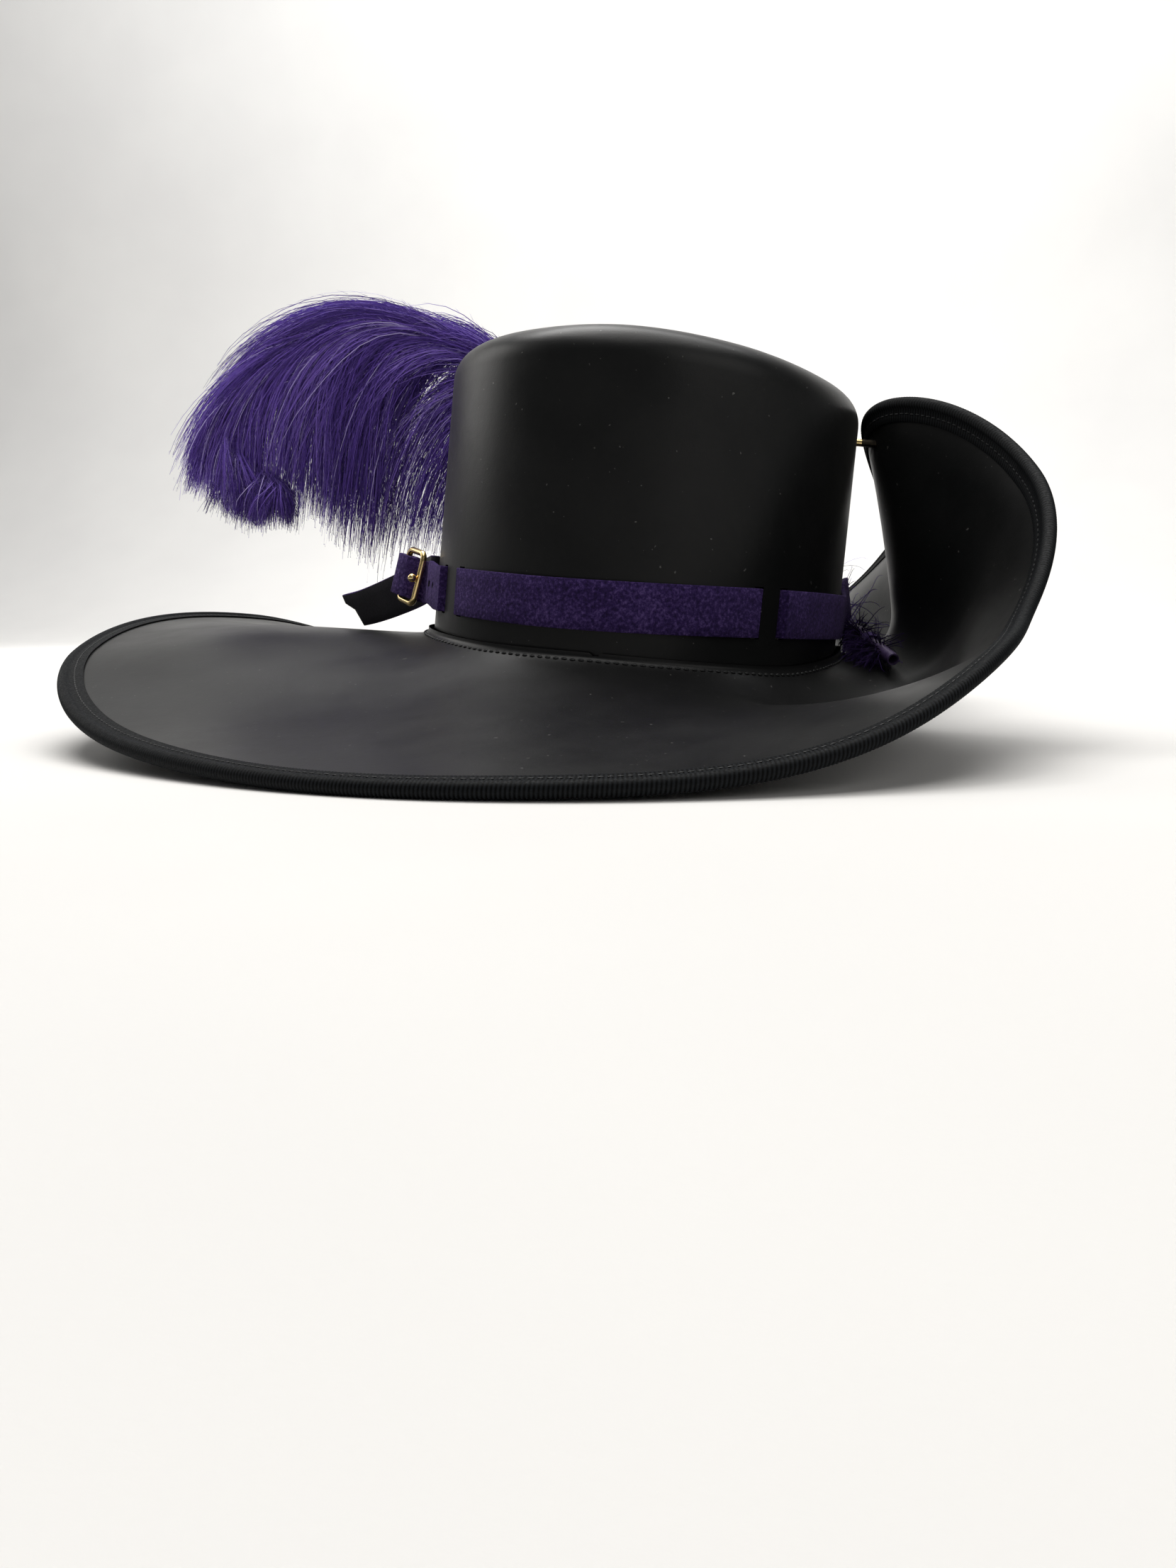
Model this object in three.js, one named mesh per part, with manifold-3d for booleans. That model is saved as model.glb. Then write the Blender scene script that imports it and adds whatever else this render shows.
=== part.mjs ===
// Cavalier hat of black moulded leather: a smooth crown, a wide brim pinned up on one side, a bound brim
// edge, a suede band woven through four slots and closed by a brass buckle, and an ostrich plume whose
// quill is tucked behind the band. Millimetres. The hat frame has its origin in the middle of the crown's
// foot, the front at -Y and the pinned-up side at +X. A point round the hat is given by phi, in degrees
// from the front towards +X, and by n, the distance outward from the crown's foot oval.
import * as THREE from "three";
import { mergeVertices } from "three/addons/utils/BufferGeometryUtils.js";
import Module from "manifold-3d";

const wasm = await Module();
wasm.setup();

// ---------------------------------------------------------------- driving sizes
const OVAL = { a: 84.5, b: 103.5 }; // half-axes of the crown's outside at its foot, for a 580 mm head
const LEATHER = 2.0; // wall of the crown and the brim
const GAP = 0.3; // clearance between neighbouring pieces
const CROWN = { taper: 1.5, tall: 115, foot: -2, shoulder: 12, middle: 115 };
const COLLAR = { straight: 2.0, bend: 2.6 }; // the brim's inner edge, turned up round the crown
const BINDING = { wide: 9.5, roll: 2.6, tape: 0.8, tuck: 4.9 };
const BAND = { tall: 17.5, thick: 1.8, slot: 4.2, inside: -3.65 };
const WIRE = 1.3; // half the thickness of the buckle's brass wire
const BUCKLE = {
  tall: 21.4, // between the middles of the wire
  long: 15.6,
  corner: 3,
  middle: [-95.1, -21, 23.9],
  along: [10.25, -12, -2],
  up: [4.2, 0, 22.9],
};
const PRONG = {
  wire: 0.9,
  eye: 0.6, // thickness of the eye's plate
  eyeTall: 1.9,
  ball: 1.8,
  hole: 1.2,
  // the pin's line in the buckle's frame, from the eye through the band to the ball's middle
  line: [
    [-6.0, 0, 0],
    [0.2, 0, 0.1],
    [3.0, 0, 0.5],
    [6.6, 0, 2.6],
    [8.4, 0, 3.4],
  ],
  spare: [
    [-70, 21.7],
    [-64, 21.2],
  ],
};
const WRAP = { from: 24, to: 30, thick: 0.8 };
const QUILL = { radius: 2.5, bore: 1.7, deep: 12, end: 1.5 };
const PIN = { phi: 94, z: 94.5, post: 1.5, hole: 1.8, head: 3.8, cap: 3.5 };
const STAND = { roll: 6.0, shift: [47.9, -0.15, 29.75] }; // how the hat rests: rolled towards +X, then moved

// Height of the crown's rim round the hat.
const RIM = [
  { phi: 0, z: 115.7 },
  { phi: 30, z: 113.8 },
  { phi: 60, z: 111 },
  { phi: 90, z: 110.5 },
  { phi: 120, z: 111 },
  { phi: 150, z: 112 },
  { phi: 180, z: 113 },
  { phi: 210, z: 113.8 },
  { phi: 240, z: 114.2 },
  { phi: 270, z: 114.3 },
  { phi: 300, z: 114.3 },
  { phi: 330, z: 115 },
];

// The brim's section round the hat: its width, the height of the seam, its slope at the seam and at the
// edge in degrees, and where and over what half length it bends from the one to the other.
const BRIM = [
  { phi: 0, width: 122, foot: 0, slope: -17, edge: -10, bend: 43, half: 40 },
  { phi: 25, width: 119, foot: 0, slope: -18, edge: 2, bend: 22, half: 20 },
  { phi: 50, width: 115, foot: 1, slope: -36, edge: 46, bend: 40, half: 16 },
  { phi: 70, width: 121, foot: 2.5, slope: -4, edge: 73, bend: 38, half: 25 },
  { phi: 90, width: 119, foot: 3, slope: 36, edge: 99, bend: 23, half: 14 },
  { phi: 110, width: 115, foot: 2.5, slope: 8, edge: 113, bend: 42, half: 18 },
  { phi: 130, width: 119, foot: 1, slope: 0, edge: 95, bend: 56, half: 30 },
  { phi: 155, width: 121, foot: 0, slope: -4, edge: 30, bend: 46, half: 44 },
  { phi: 180, width: 122, foot: 0, slope: -12.5, edge: -11.5, bend: 55, half: 45 },
  { phi: 215, width: 128, foot: 0, slope: -15.5, edge: -10.5, bend: 55, half: 45 },
  { phi: 250, width: 137, foot: 0, slope: -7, edge: 5, bend: 78, half: 50 },
  { phi: 290, width: 144, foot: 0, slope: -2, edge: -13, bend: 72, half: 50 },
  { phi: 330, width: 127, foot: 0, slope: -28, edge: -10, bend: 45, half: 43 },
];
const BRIM_ROWS = [0.04, 0.1, 0.17, 0.24, 0.31, 0.39, 0.48, 0.58, 0.69, 0.8]; // shares of the width

// The band where it follows the crown, from the buckle's front bar round the front, the far side and the
// back: distance from the crown, height of its middle, and how far its lower edge leans outward.
const BAND_RUN = [
  { phi: -62, n: 1.2, z: 20.6, lean: 0 },
  { phi: -20, n: 1.2, z: 19.6, lean: 0 },
  { phi: 0, n: 1.2, z: 20, lean: 0 },
  { phi: 39, n: 1.2, z: 22, lean: 0 },
  { phi: 60, n: 1.2, z: 22.6, lean: 0 },
  { phi: 80, n: 1.2, z: 22.7, lean: 0 },
  { phi: 88, n: 1.2, z: 22.9, lean: 0 },
  { phi: 96, n: 2.2, z: 25.4, lean: 5 },
  { phi: 100, n: 3.8, z: 29.3, lean: 10 },
  { phi: 104, n: 6.3, z: 31.2, lean: 12 },
  { phi: 112, n: 7.2, z: 29.4, lean: 6 },
  { phi: 120, n: 7.2, z: 27.5, lean: 0 },
  { phi: 128, n: 7.1, z: 25.6, lean: 0 },
  { phi: 137, n: 4.2, z: 23.8, lean: 0 },
  { phi: 147, n: 1.5, z: 22.8, lean: 0 },
  { phi: 158, n: 1.2, z: 22.2, lean: 0 },
  { phi: 180, n: 1.2, z: 21.6, lean: 0 },
  { phi: 236, n: 1.2, z: 21.6, lean: 0 },
  { phi: 262, n: 1.2, z: 22.6, lean: 0 },
  { phi: 283, n: 1.2, z: 24.6, lean: 0 },
];
const SLOTS = [-55, -44, 39, 47]; // where the band passes through the crown
// The band's buckle end in the buckle's frame, from under the front bar to over the rear bar; it then
// folds round the rear bar and ends on the crown side.
const BUCKLE_END = [
  { x: 7.7, z: -3.7 },
  { x: 3.2, z: -0.1 },
  { x: 0, z: 2.3 },
  { x: -4, z: 3.4 },
];
const BUCKLE_END_AT = { y: -0.5, tall: 17, back: -5.4 };
// where it leaves the crown for the front bar
const LEAVES = [
  { x: -83.4, y: -33.1, z: 22.3, lean: 4 },
  { x: -78.8, y: -42.7, z: 21.4, lean: 0 },
];
// The band's free end: it turns back on itself against the crown and hangs out behind the buckle.
const FREE_END = [
  { x: -87.6, y: -19.8, z: 23.9, tall: 17.5, lean: 3 },
  { x: -92.7, y: -14.3, z: 21.2, tall: 17.5, lean: 8 },
  { x: -100.2, y: -8.4, z: 17.8, tall: 17.3, lean: 14 },
  { x: -109.5, y: -2.2, z: 13.9, tall: 17, lean: 19 },
  { x: -119, y: 5, z: 10.4, tall: 16.6, lean: 22 },
  { x: -126.5, y: 10.8, z: 8, tall: 16.2, lean: 24 },
  { x: -132, y: 15.2, z: 6.6, tall: 16, lean: 24, top: 6, low: -1.5 }, // cut off on a slant
];

// The quill's middle line where it follows the crown, from its cut end on.
const QUILL_OUT = [
  { x: 105.4, y: -41, z: 8.7 },
  { x: 100.6, y: -26, z: 12 },
  { x: 96.2, y: -12, z: 15 },
];
const QUILL_RUN = [
  { phi: 88, n: 9.6, z: 17.2 },
  { phi: 96, n: 8.8, z: 17.6 },
  { phi: 102, n: 6.4, z: 17.9 },
  { phi: 108, n: 3.4, z: 19.3 },
  { phi: 114, n: 3.4, z: 23.5 },
  { phi: 122, n: 3.4, z: 30 },
  { phi: 130, n: 3.6, z: 38 },
  { phi: 142, n: 5, z: 49 },
  { phi: 154, n: 6.6, z: 60 },
  { phi: 164.2, n: 7.9, z: 69 },
];
// The plume as ribs across it, each from its upper to its lower end, with its thickness.
const PLUME_BEHIND = [
  { phi: 165, n: 8, top: 73.5, low: 66, thick: 7 },
  { phi: 175, n: 9, top: 94, low: 58, thick: 9 },
  { phi: 188, n: 9.5, top: 110, low: 54, thick: 10 },
  { phi: 203, n: 10, top: 123, low: 54, thick: 11 },
];
const PLUME_FREE = [
  { top: [-62, 94, 132], low: [-60, 94, 53], thick: 11 },
  { top: [-86, 90, 143], low: [-84, 92, 49], thick: 12 },
  { top: [-114, 86, 150], low: [-114, 88, 40], thick: 12 },
  { top: [-147, 84, 153], low: [-143, 84, 24], thick: 12 },
  { top: [-181, 83, 152], low: [-163, 82, 27], thick: 12 },
  { top: [-212, 82, 144], low: [-182, 81, 41], thick: 12 },
  { top: [-238, 81, 129], low: [-203, 80, 46], thick: 11 },
  { top: [-256, 80, 104], low: [-218, 79, 47], thick: 10 },
  { top: [-262, 79, 76], low: [-232, 78, 48], thick: 8 },
  { top: [-257, 78, 58], low: [-243, 78, 51], thick: 6 },
];

// ---------------------------------------------------------------- shared shapes
const rad = THREE.MathUtils.degToRad;
const step = (x) => x * x * (3 - 2 * x);
const clamp = THREE.MathUtils.clamp;

// A column of a table at phi, joined smoothly; with `round` the table closes on itself.
function column(table, key, phi, round = true) {
  const n = table.length;
  const row = (i) => {
    if (!round) i = clamp(i, 0, n - 1);
    const turn = Math.floor(i / n);
    const r = table[i - turn * n];
    return { x: r.phi + 360 * turn, v: r[key] };
  };
  if (round) phi = THREE.MathUtils.euclideanModulo(phi, 360);
  let i = 0;
  while (i < n - 1 && table[i + 1].phi <= phi) i++;
  if (!round) i = Math.min(i, n - 2);
  const [o, a, b, c] = [row(i - 1), row(i), row(i + 1), row(i + 2)];
  const h = b.x - a.x;
  const t = (phi - a.x) / h;
  const ma = ((b.v - o.v) / (b.x - o.x)) * h;
  const mb = ((c.v - a.v) / (c.x - a.x)) * h;
  const t2 = t * t;
  const t3 = t2 * t;
  return a.v * (2 * t3 - 3 * t2 + 1) + ma * (t3 - 2 * t2 + t) + b.v * (3 * t2 - 2 * t3) + mb * (t3 - t2);
}

// The point at phi, n outward from the crown's foot oval, at height z.
function round(phi, n, z) {
  const s = Math.sin(rad(phi));
  const c = Math.cos(rad(phi));
  const out = new THREE.Vector2(s / OVAL.a, -c / OVAL.b).normalize();
  return new THREE.Vector3(OVAL.a * s + out.x * n, -OVAL.b * c + out.y * n, z);
}

// A manifold-3d solid from a closed geometry, turned outside out where its faces point inward.
function solid(geometry) {
  const g = geometry.clone();
  for (const name of ["normal", "uv"]) g.deleteAttribute(name);
  const merged = mergeVertices(g, 1e-4);
  const p = merged.attributes.position;
  const faces = [...merged.index.array];
  const [a, b, c] = [new THREE.Vector3(), new THREE.Vector3(), new THREE.Vector3()];
  let volume = 0;
  for (let i = 0; i < faces.length; i += 3) {
    [a, b, c].forEach((v, k) => v.fromBufferAttribute(p, faces[i + k]));
    volume += a.dot(b.cross(c));
  }
  if (volume < 0) faces.reverse();
  return new wasm.Manifold(
    new wasm.Mesh({ numProp: 3, vertProperties: p.array, triVerts: new Uint32Array(faces) }),
  );
}

// A closed body from a grid: `around` places round it, closed on themselves, and `along` rows; the rows
// close on themselves too when `ring` is set, and otherwise end in a point or a flat end.
function gridBody(around, along, place, ring = false) {
  const rows = ring ? along : along - 1;
  const g = new THREE.PlaneGeometry(1, 1, around, rows);
  for (let j = 0; j <= rows; j++)
    for (let i = 0; i <= around; i++) {
      const v = place(i % around, j % along);
      g.attributes.position.setXYZ(j * (around + 1) + i, v.x, v.y, v.z);
    }
  return solid(g);
}

// A body through rings of points, closed at both ends by the rings' middles.
function loft(rings) {
  const mid = (ring) => ring.reduce((s, v) => s.add(v), new THREE.Vector3()).divideScalar(ring.length);
  const rows = [
    rings[0].map(() => mid(rings[0])),
    ...rings,
    rings.at(-1).map(() => mid(rings.at(-1))),
  ];
  return gridBody(rings[0].length, rows.length, (i, j) => rows[j][i]);
}

function placed(geometry, matrix) {
  return solid(geometry.clone().applyMatrix4(matrix));
}

// A matrix with its axes along x, y and z (z is made from the other two), at a point.
function at(origin, x, y) {
  const ex = x.clone().normalize();
  const ez = ex.clone().cross(y).normalize();
  const ey = ez.clone().cross(ex);
  return new THREE.Matrix4().makeBasis(ex, ey, ez).setPosition(origin);
}

const materials = {
  leather: new THREE.MeshStandardMaterial({ color: 0x17171a, roughness: 0.45 }),
  tape: new THREE.MeshStandardMaterial({ color: 0x1d1d20, roughness: 0.85 }),
  suede: new THREE.MeshStandardMaterial({ color: 0x3d2573, roughness: 0.95 }),
  brass: new THREE.MeshStandardMaterial({ color: 0xb08d4a, roughness: 0.35, metalness: 1 }),
  feather: new THREE.MeshStandardMaterial({ color: 0x4b2a86, roughness: 0.9 }),
  horn: new THREE.MeshStandardMaterial({ color: 0x4a3d52, roughness: 0.6 }),
};

const hat = new THREE.Group();
function add(name, body, material) {
  const m = body.getMesh();
  const g = new THREE.BufferGeometry();
  g.setAttribute("position", new THREE.BufferAttribute(new Float32Array(m.vertProperties), 3));
  g.setIndex(new THREE.BufferAttribute(new Uint32Array(m.triVerts), 1));
  const mesh = new THREE.Mesh(g, materials[material].clone());
  mesh.name = name;
  hat.add(mesh);
}

// ---------------------------------------------------------------- crown
// A plain dome-cornered cup, open below. Its rows run from the middle of the inside of the top, down the
// inside wall, round the foot, up the outside wall and over the shoulder to the middle of the top.
const CROWN_TURNS = 60;
function crownWall(phi, skin) {
  const rim = column(RIM, "z", phi);
  const lean = (z) => (-CROWN.taper * z) / CROWN.tall;
  const r = CROWN.shoulder;
  const top = rim - r;
  const points = [
    [lean(CROWN.foot) - skin, CROWN.foot],
    [lean(top * 0.5) - skin, top * 0.5],
  ];
  for (const turn of [0, 30, 60, 90])
    points.push([
      lean(top) - r + (r - skin) * Math.cos(rad(turn)),
      top + (r - skin) * Math.sin(rad(turn)),
    ]);
  const wall = points.map(([n, z]) => round(phi, n, z));
  const edge = wall.at(-1);
  const middle = CROWN.middle - skin;
  for (const share of [0.7, 0.35])
    wall.push(
      new THREE.Vector3(edge.x * share, edge.y * share, middle + (edge.z - middle) * share * share),
    );
  wall.push(new THREE.Vector3(0, 0, middle));
  return wall;
}
const crownRings = Array.from({ length: CROWN_TURNS }, (_, i) => {
  const phi = (360 * i) / CROWN_TURNS;
  return [...crownWall(phi, LEATHER).reverse(), ...crownWall(phi, 0)];
});
let crown = gridBody(CROWN_TURNS, crownRings[0].length, (i, j) => crownRings[i][j]);
const bandZ = (phi) => column(BAND_RUN, "z", phi, false);
for (const phi of SLOTS) {
  const mid = round(phi, -LEATHER / 2, bandZ(phi));
  const out = round(phi, 1, 0).sub(round(phi, 0, 0));
  crown = crown.subtract(
    placed(
      new THREE.BoxGeometry(12, BAND.slot, BAND.tall + 1.2),
      at(mid, out, new THREE.Vector3(0, 0, 1).cross(out)),
    ),
  );
}
// A round bar along the pin's axis, which runs straight out from the crown's oval at PIN.phi.
const pinFoot = round(PIN.phi, 0, PIN.z);
const pinAxis = round(PIN.phi, 1, PIN.z).sub(pinFoot);
function pinBar(radius, from, to) {
  const bar = new THREE.CylinderGeometry(radius, radius, to - from, 16);
  const mid = pinFoot.clone().addScaledVector(pinAxis, (from + to) / 2);
  return placed(bar, at(mid, new THREE.Vector3(0, 0, 1), pinAxis));
}
crown = crown.subtract(pinBar(PIN.hole, -12, 3));
add("crown", crown, "leather");

// ---------------------------------------------------------------- brim
// The brim's section at phi as a walk outward over its upper face, in steps of half a millimetre: r is the
// distance from the crown's oval, a the slope. The collar comes first, then the brim proper.
function brimWalk(phi) {
  const of = (key) => column(BRIM, key, phi);
  const [width, foot, slope, edge, bend, half] = ["width", "foot", "slope", "edge", "bend", "half"].map(of);
  const angle = (s) => rad(slope + (edge - slope) * step(clamp((s - (bend - half)) / (2 * half), 0, 1)));
  const start = GAP + LEATHER;
  const t = rad(slope);
  const r1 = start + COLLAR.bend * (1 + Math.sin(t));
  const z1 = foot + (r1 - 1.5) * Math.tan(t);
  const collar = [-90, -90, -45 + slope / 2, slope].map((deg, i) => {
    const a = rad(deg);
    const r = start + COLLAR.bend * (1 + Math.sin(a));
    return { r, z: z1 + COLLAR.bend * (Math.cos(t) - Math.cos(a)) + (i ? 0 : COLLAR.straight), a };
  });
  const path = [];
  let s = (r1 - 1.5) / Math.cos(t);
  let [r, z] = [r1, z1];
  while (s < width + 0.5) {
    path.push({ s, r, z, a: angle(s) });
    const a = angle(s + 0.25);
    r += 0.5 * Math.cos(a);
    z += 0.5 * Math.sin(a);
    s += 0.5;
  }
  const find = (x) => {
    const k = clamp((x - path[0].s) / 0.5, 0, path.length - 1.001);
    const [p, q, f] = [path[Math.floor(k)], path[Math.floor(k) + 1], k % 1];
    return { r: p.r + (q.r - p.r) * f, z: p.z + (q.z - p.z) * f, a: p.a + (q.a - p.a) * f };
  };
  return { width, collar, find };
}
// The point of a section `deep` below its upper face.
const under = (phi, p, deep) => round(phi, p.r + Math.sin(p.a) * deep, p.z - Math.cos(p.a) * deep);

// Places round the brim, closer together where it turns up.
const AROUND = [
  ...Array.from({ length: 36 }, (_, i) => 40 + (120 * i) / 36),
  ...Array.from({ length: 46 }, (_, i) => 160 + (240 * i) / 46),
];
const walks = AROUND.map(brimWalk);
const brimRings = AROUND.map((phi, i) => {
  const { width, collar, find } = walks[i];
  const rows = [
    ...collar,
    ...BRIM_ROWS.map((share) => find(share * width)),
    find(width - BINDING.wide),
    find(width - BINDING.tuck),
  ];
  return [
    ...rows.map((p) => under(phi, p, 0)),
    ...rows.map((p) => under(phi, p, LEATHER)).reverse(),
  ];
});
let brim = gridBody(AROUND.length, brimRings[0].length, (i, j) => brimRings[i][j], true);
brim = brim.subtract(pinBar(PIN.hole, 2, 25));
add("brim", brim, "leather");

// ---------------------------------------------------------------- edge binding
// A ribbed tape folded over the brim's edge round a soft roll, with a slot that takes the leather.
const bindingRings = AROUND.map((phi, i) => {
  const { width, find } = walks[i];
  const inner = find(width - BINDING.wide);
  const tuck = find(width - BINDING.tuck + GAP);
  const core = find(width - BINDING.roll);
  const lip = BINDING.tape + GAP;
  const ring = [
    under(phi, inner, -GAP),
    under(phi, tuck, -GAP),
    under(phi, tuck, LEATHER + GAP),
    under(phi, inner, LEATHER + GAP),
    under(phi, inner, LEATHER + lip),
    under(phi, find(width - 2 * BINDING.roll), LEATHER + lip),
  ];
  for (const turn of [-120, -80, -40, 0, 40, 80, 120]) {
    const [along, up] = [BINDING.roll * Math.cos(rad(turn)), BINDING.roll * Math.sin(rad(turn))];
    ring.push(
      round(
        phi,
        core.r + Math.cos(core.a) * along + Math.sin(core.a) * (LEATHER / 2 - up),
        core.z + Math.sin(core.a) * along - Math.cos(core.a) * (LEATHER / 2 - up),
      ),
    );
  }
  ring.push(under(phi, find(width - 2 * BINDING.roll), -lip), under(phi, inner, -lip));
  return ring;
});
const binding = gridBody(AROUND.length, bindingRings[0].length, (i, j) => bindingRings[i][j], true);

// ---------------------------------------------------------------- hat band
// One strap: its folded end behind the buckle's rear bar, then round the back and the far side, through
// the four slots, round the front, under the front bar and over the rear bar to the free end.
function strap(stations) {
  const rings = stations.map((p, i) => {
    const before = stations[Math.max(i - 1, 0)].mid;
    const after = stations[Math.min(i + 1, stations.length - 1)].mid;
    const a = p.mid.clone().sub(before);
    const b = after.clone().sub(p.mid);
    const bend = a.lengthSq() && b.lengthSq() ? a.angleTo(b) : 0;
    const along = a.normalize().add(b.normalize()).normalize();
    const width = p.up ? p.up.clone() : new THREE.Vector3(0, 0, 1).applyAxisAngle(along, -rad(p.lean));
    width.addScaledVector(along, -width.dot(along)).normalize();
    const out = along.clone().cross(width);
    const t = BAND.thick / 2 / Math.cos(bend / 2);
    const h = (p.tall || BAND.tall) / 2;
    return [
      [h, t],
      [h, -t],
      [-h, -t],
      [-h, t],
    ].map(([w, o]) =>
      p.mid
        .clone()
        .addScaledVector(width, w)
        .addScaledVector(out, o)
        .addScaledVector(along, (w > 0 ? p.top : p.low) || 0),
    );
  });
  return loft(rings);
}
// Along the run from -62 to 236 degrees; inside the crown between the slots of each pair.
const half = 0.6; // degrees from a slot's middle to where the band leaves the wall's face
const runPhi = [-62];
for (const [a, b] of [
  [SLOTS[0], SLOTS[1]],
  [SLOTS[2], SLOTS[3]],
])
  runPhi.push(a - half, a + half, (a + b) / 2, b - half, b + half);
const inCrown = (phi) =>
  (phi > SLOTS[0] && phi < SLOTS[1]) || (phi > SLOTS[2] && phi < SLOTS[3]);
for (let phi = -38; phi < 36; phi += 6.2) runPhi.push(phi);
for (let phi = 53; phi < 282; phi += 5.8) runPhi.push(phi);
runPhi.push(283);
runPhi.sort((a, b) => a - b);
const run = runPhi.map((phi) => {
  const n = inCrown(phi) ? BAND.inside : column(BAND_RUN, "n", phi, false);
  return { mid: round(phi, n, bandZ(phi)), lean: column(BAND_RUN, "lean", phi, false) };
});

// The buckle's own frame: its middle, x from the rear bar to the front bar, y up and z outward.
const buckleAt = at(
  new THREE.Vector3(...BUCKLE.middle),
  new THREE.Vector3(...BUCKLE.along),
  new THREE.Vector3(...BUCKLE.up),
);
const local = (x, y, z) => new THREE.Vector3(x, y, z).applyMatrix4(buckleAt);
const rear = -BUCKLE.long / 2;
const upright = new THREE.Vector3(...BUCKLE.up).normalize();
const loop = WIRE + 2 * GAP + PRONG.eye + BAND.thick / 2;
const buckleEnd = [
  [BUCKLE_END_AT.back, -loop],
  ...[-90, -135, -180, -225, -270].map((turn) => [
    rear + loop * Math.cos(rad(turn)),
    loop * Math.sin(rad(turn)),
  ]),
  ...BUCKLE_END.map((p) => [p.x, p.z]).reverse(),
].map(([x, z]) => ({ mid: local(x, BUCKLE_END_AT.y, z), up: upright, tall: BUCKLE_END_AT.tall }));
const leaves = LEAVES.map((p) => ({ ...p, mid: new THREE.Vector3(p.x, p.y, p.z) }));

// The turn against the crown, from the end of the run to the free end.
const turnR = (BAND.thick + GAP) / 2;
const lastRun = run.at(-1).mid;
const outward = round(283, 1, 0).sub(round(283, 0, 0));
const ahead = round(284, 0, 0).sub(round(283, 0, 0)).normalize();
const turnMid = lastRun.clone().addScaledVector(outward, turnR);
const turned = [45, 90, 135, 180].map((deg) => ({
  mid: turnMid
    .clone()
    .addScaledVector(outward, -turnR * Math.cos(rad(deg)))
    .addScaledVector(ahead, turnR * Math.sin(rad(deg))),
  lean: 0,
}));
const free = FREE_END.map((p) => ({ ...p, mid: new THREE.Vector3(p.x, p.y, p.z) }));
let band = strap([...buckleEnd, ...leaves, ...run, ...turned, ...free]);

// A round bar from one point to another.
function rod(a, b, radius, sides = 12) {
  const way = b.clone().sub(a);
  const bar = new THREE.CylinderGeometry(radius, radius, way.length(), sides);
  const turn = new THREE.Matrix4().makeRotationFromQuaternion(
    new THREE.Quaternion().setFromUnitVectors(new THREE.Vector3(0, 1, 0), way.clone().normalize()),
  );
  return placed(bar, turn.setPosition(a.clone().add(b).multiplyScalar(0.5)));
}
// The prong's hole, and two spare holes in front of the buckle.
band = band.subtract(rod(local(-0.8, 0, 0), local(5.5, 0, 1.2), PRONG.hole + GAP));
for (const [phi, z] of PRONG.spare)
  band = band.subtract(rod(round(phi, 0, z), round(phi, 9, z), PRONG.hole, 10));
add("hat_band", band, "suede");

// ---------------------------------------------------------------- buckle
// A rounded rectangle of round brass wire.
const corners = [];
for (const [sx, sy, from] of [
  [1, 1, 0],
  [-1, 1, 90],
  [-1, -1, 180],
  [1, -1, 270],
])
  for (const turn of [0, 30, 60, 90]) {
    const a = rad(from + turn);
    const c = BUCKLE.corner;
    corners.push({
      x: sx * (BUCKLE.long / 2 - c) + c * Math.cos(a),
      y: sy * (BUCKLE.tall / 2 - c) + c * Math.sin(a),
      a,
    });
  }
const frameRing = gridBody(
  corners.length,
  8,
  (i, j) => {
    const { x, y, a } = corners[i];
    const t = rad(45 * j);
    const out = WIRE * Math.cos(t);
    return local(x + out * Math.cos(a), y + out * Math.sin(a), WIRE * Math.sin(t));
  },
  true,
);
add("buckle_frame", frameRing, "brass");

// The prong: a wire eye round the rear bar and a straight pin with a ball tip over the front bar.
const eye = gridBody(
  16,
  4,
  (i, j) => {
    const a = rad(22.5 * i);
    const r = WIRE + GAP + (j === 1 || j === 2 ? PRONG.eye : 0);
    const y = (PRONG.eyeTall - GAP) * (j < 2 ? -1 : 1);
    return local(rear + r * Math.cos(a), y, r * Math.sin(a));
  },
  true,
);
const ball = placed(new THREE.SphereGeometry(PRONG.ball, 12, 8), buckleAt.clone().setPosition(local(...PRONG.line.at(-1))));
let prong = eye.add(ball);
for (let i = 1; i < PRONG.line.length; i++)
  prong = prong.add(rod(local(...PRONG.line[i - 1]), local(...PRONG.line[i]), PRONG.wire));
add("buckle_prong", prong, "brass");

// ---------------------------------------------------------------- brim pin
// A brass stud through the crown and the turned-up brim: a flat cap inside, a post and a domed head.
const flapAt = Math.max(
  ...[-3, -1.5, 0, 1.5, 3].flatMap((turn) => {
    const { width, find } = brimWalk(PIN.phi + turn);
    const reach = (z) => {
      let s = width * 0.5;
      while (s < width && find(s).z < z) s += 0.25;
      return under(PIN.phi + turn, find(s), LEATHER).sub(pinFoot).dot(pinAxis);
    };
    return [-PIN.head, 0, PIN.head].map((up) => reach(PIN.z + up));
  }),
);
const inside = (-CROWN.taper * PIN.z) / CROWN.tall - LEATHER - GAP;
const headAt = flapAt + GAP;
const stud = new THREE.LatheGeometry(
  [
    [0, inside - 1.4],
    [PIN.cap - 0.4, inside - 1.4],
    [PIN.cap, inside - 1],
    [PIN.cap, inside],
    [PIN.post, inside],
    [PIN.post, headAt],
    [PIN.head, headAt],
    [PIN.head - 0.2, headAt + 0.7],
    [PIN.head - 1.5, headAt + 1.6],
    [0, headAt + 2.2],
  ].map(([x, y]) => new THREE.Vector2(x, y)),
  20,
);
const studAt = at(pinFoot, new THREE.Vector3(0, 0, 1), pinAxis);
add("brim_pin", placed(stud, studAt), "brass");

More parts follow.
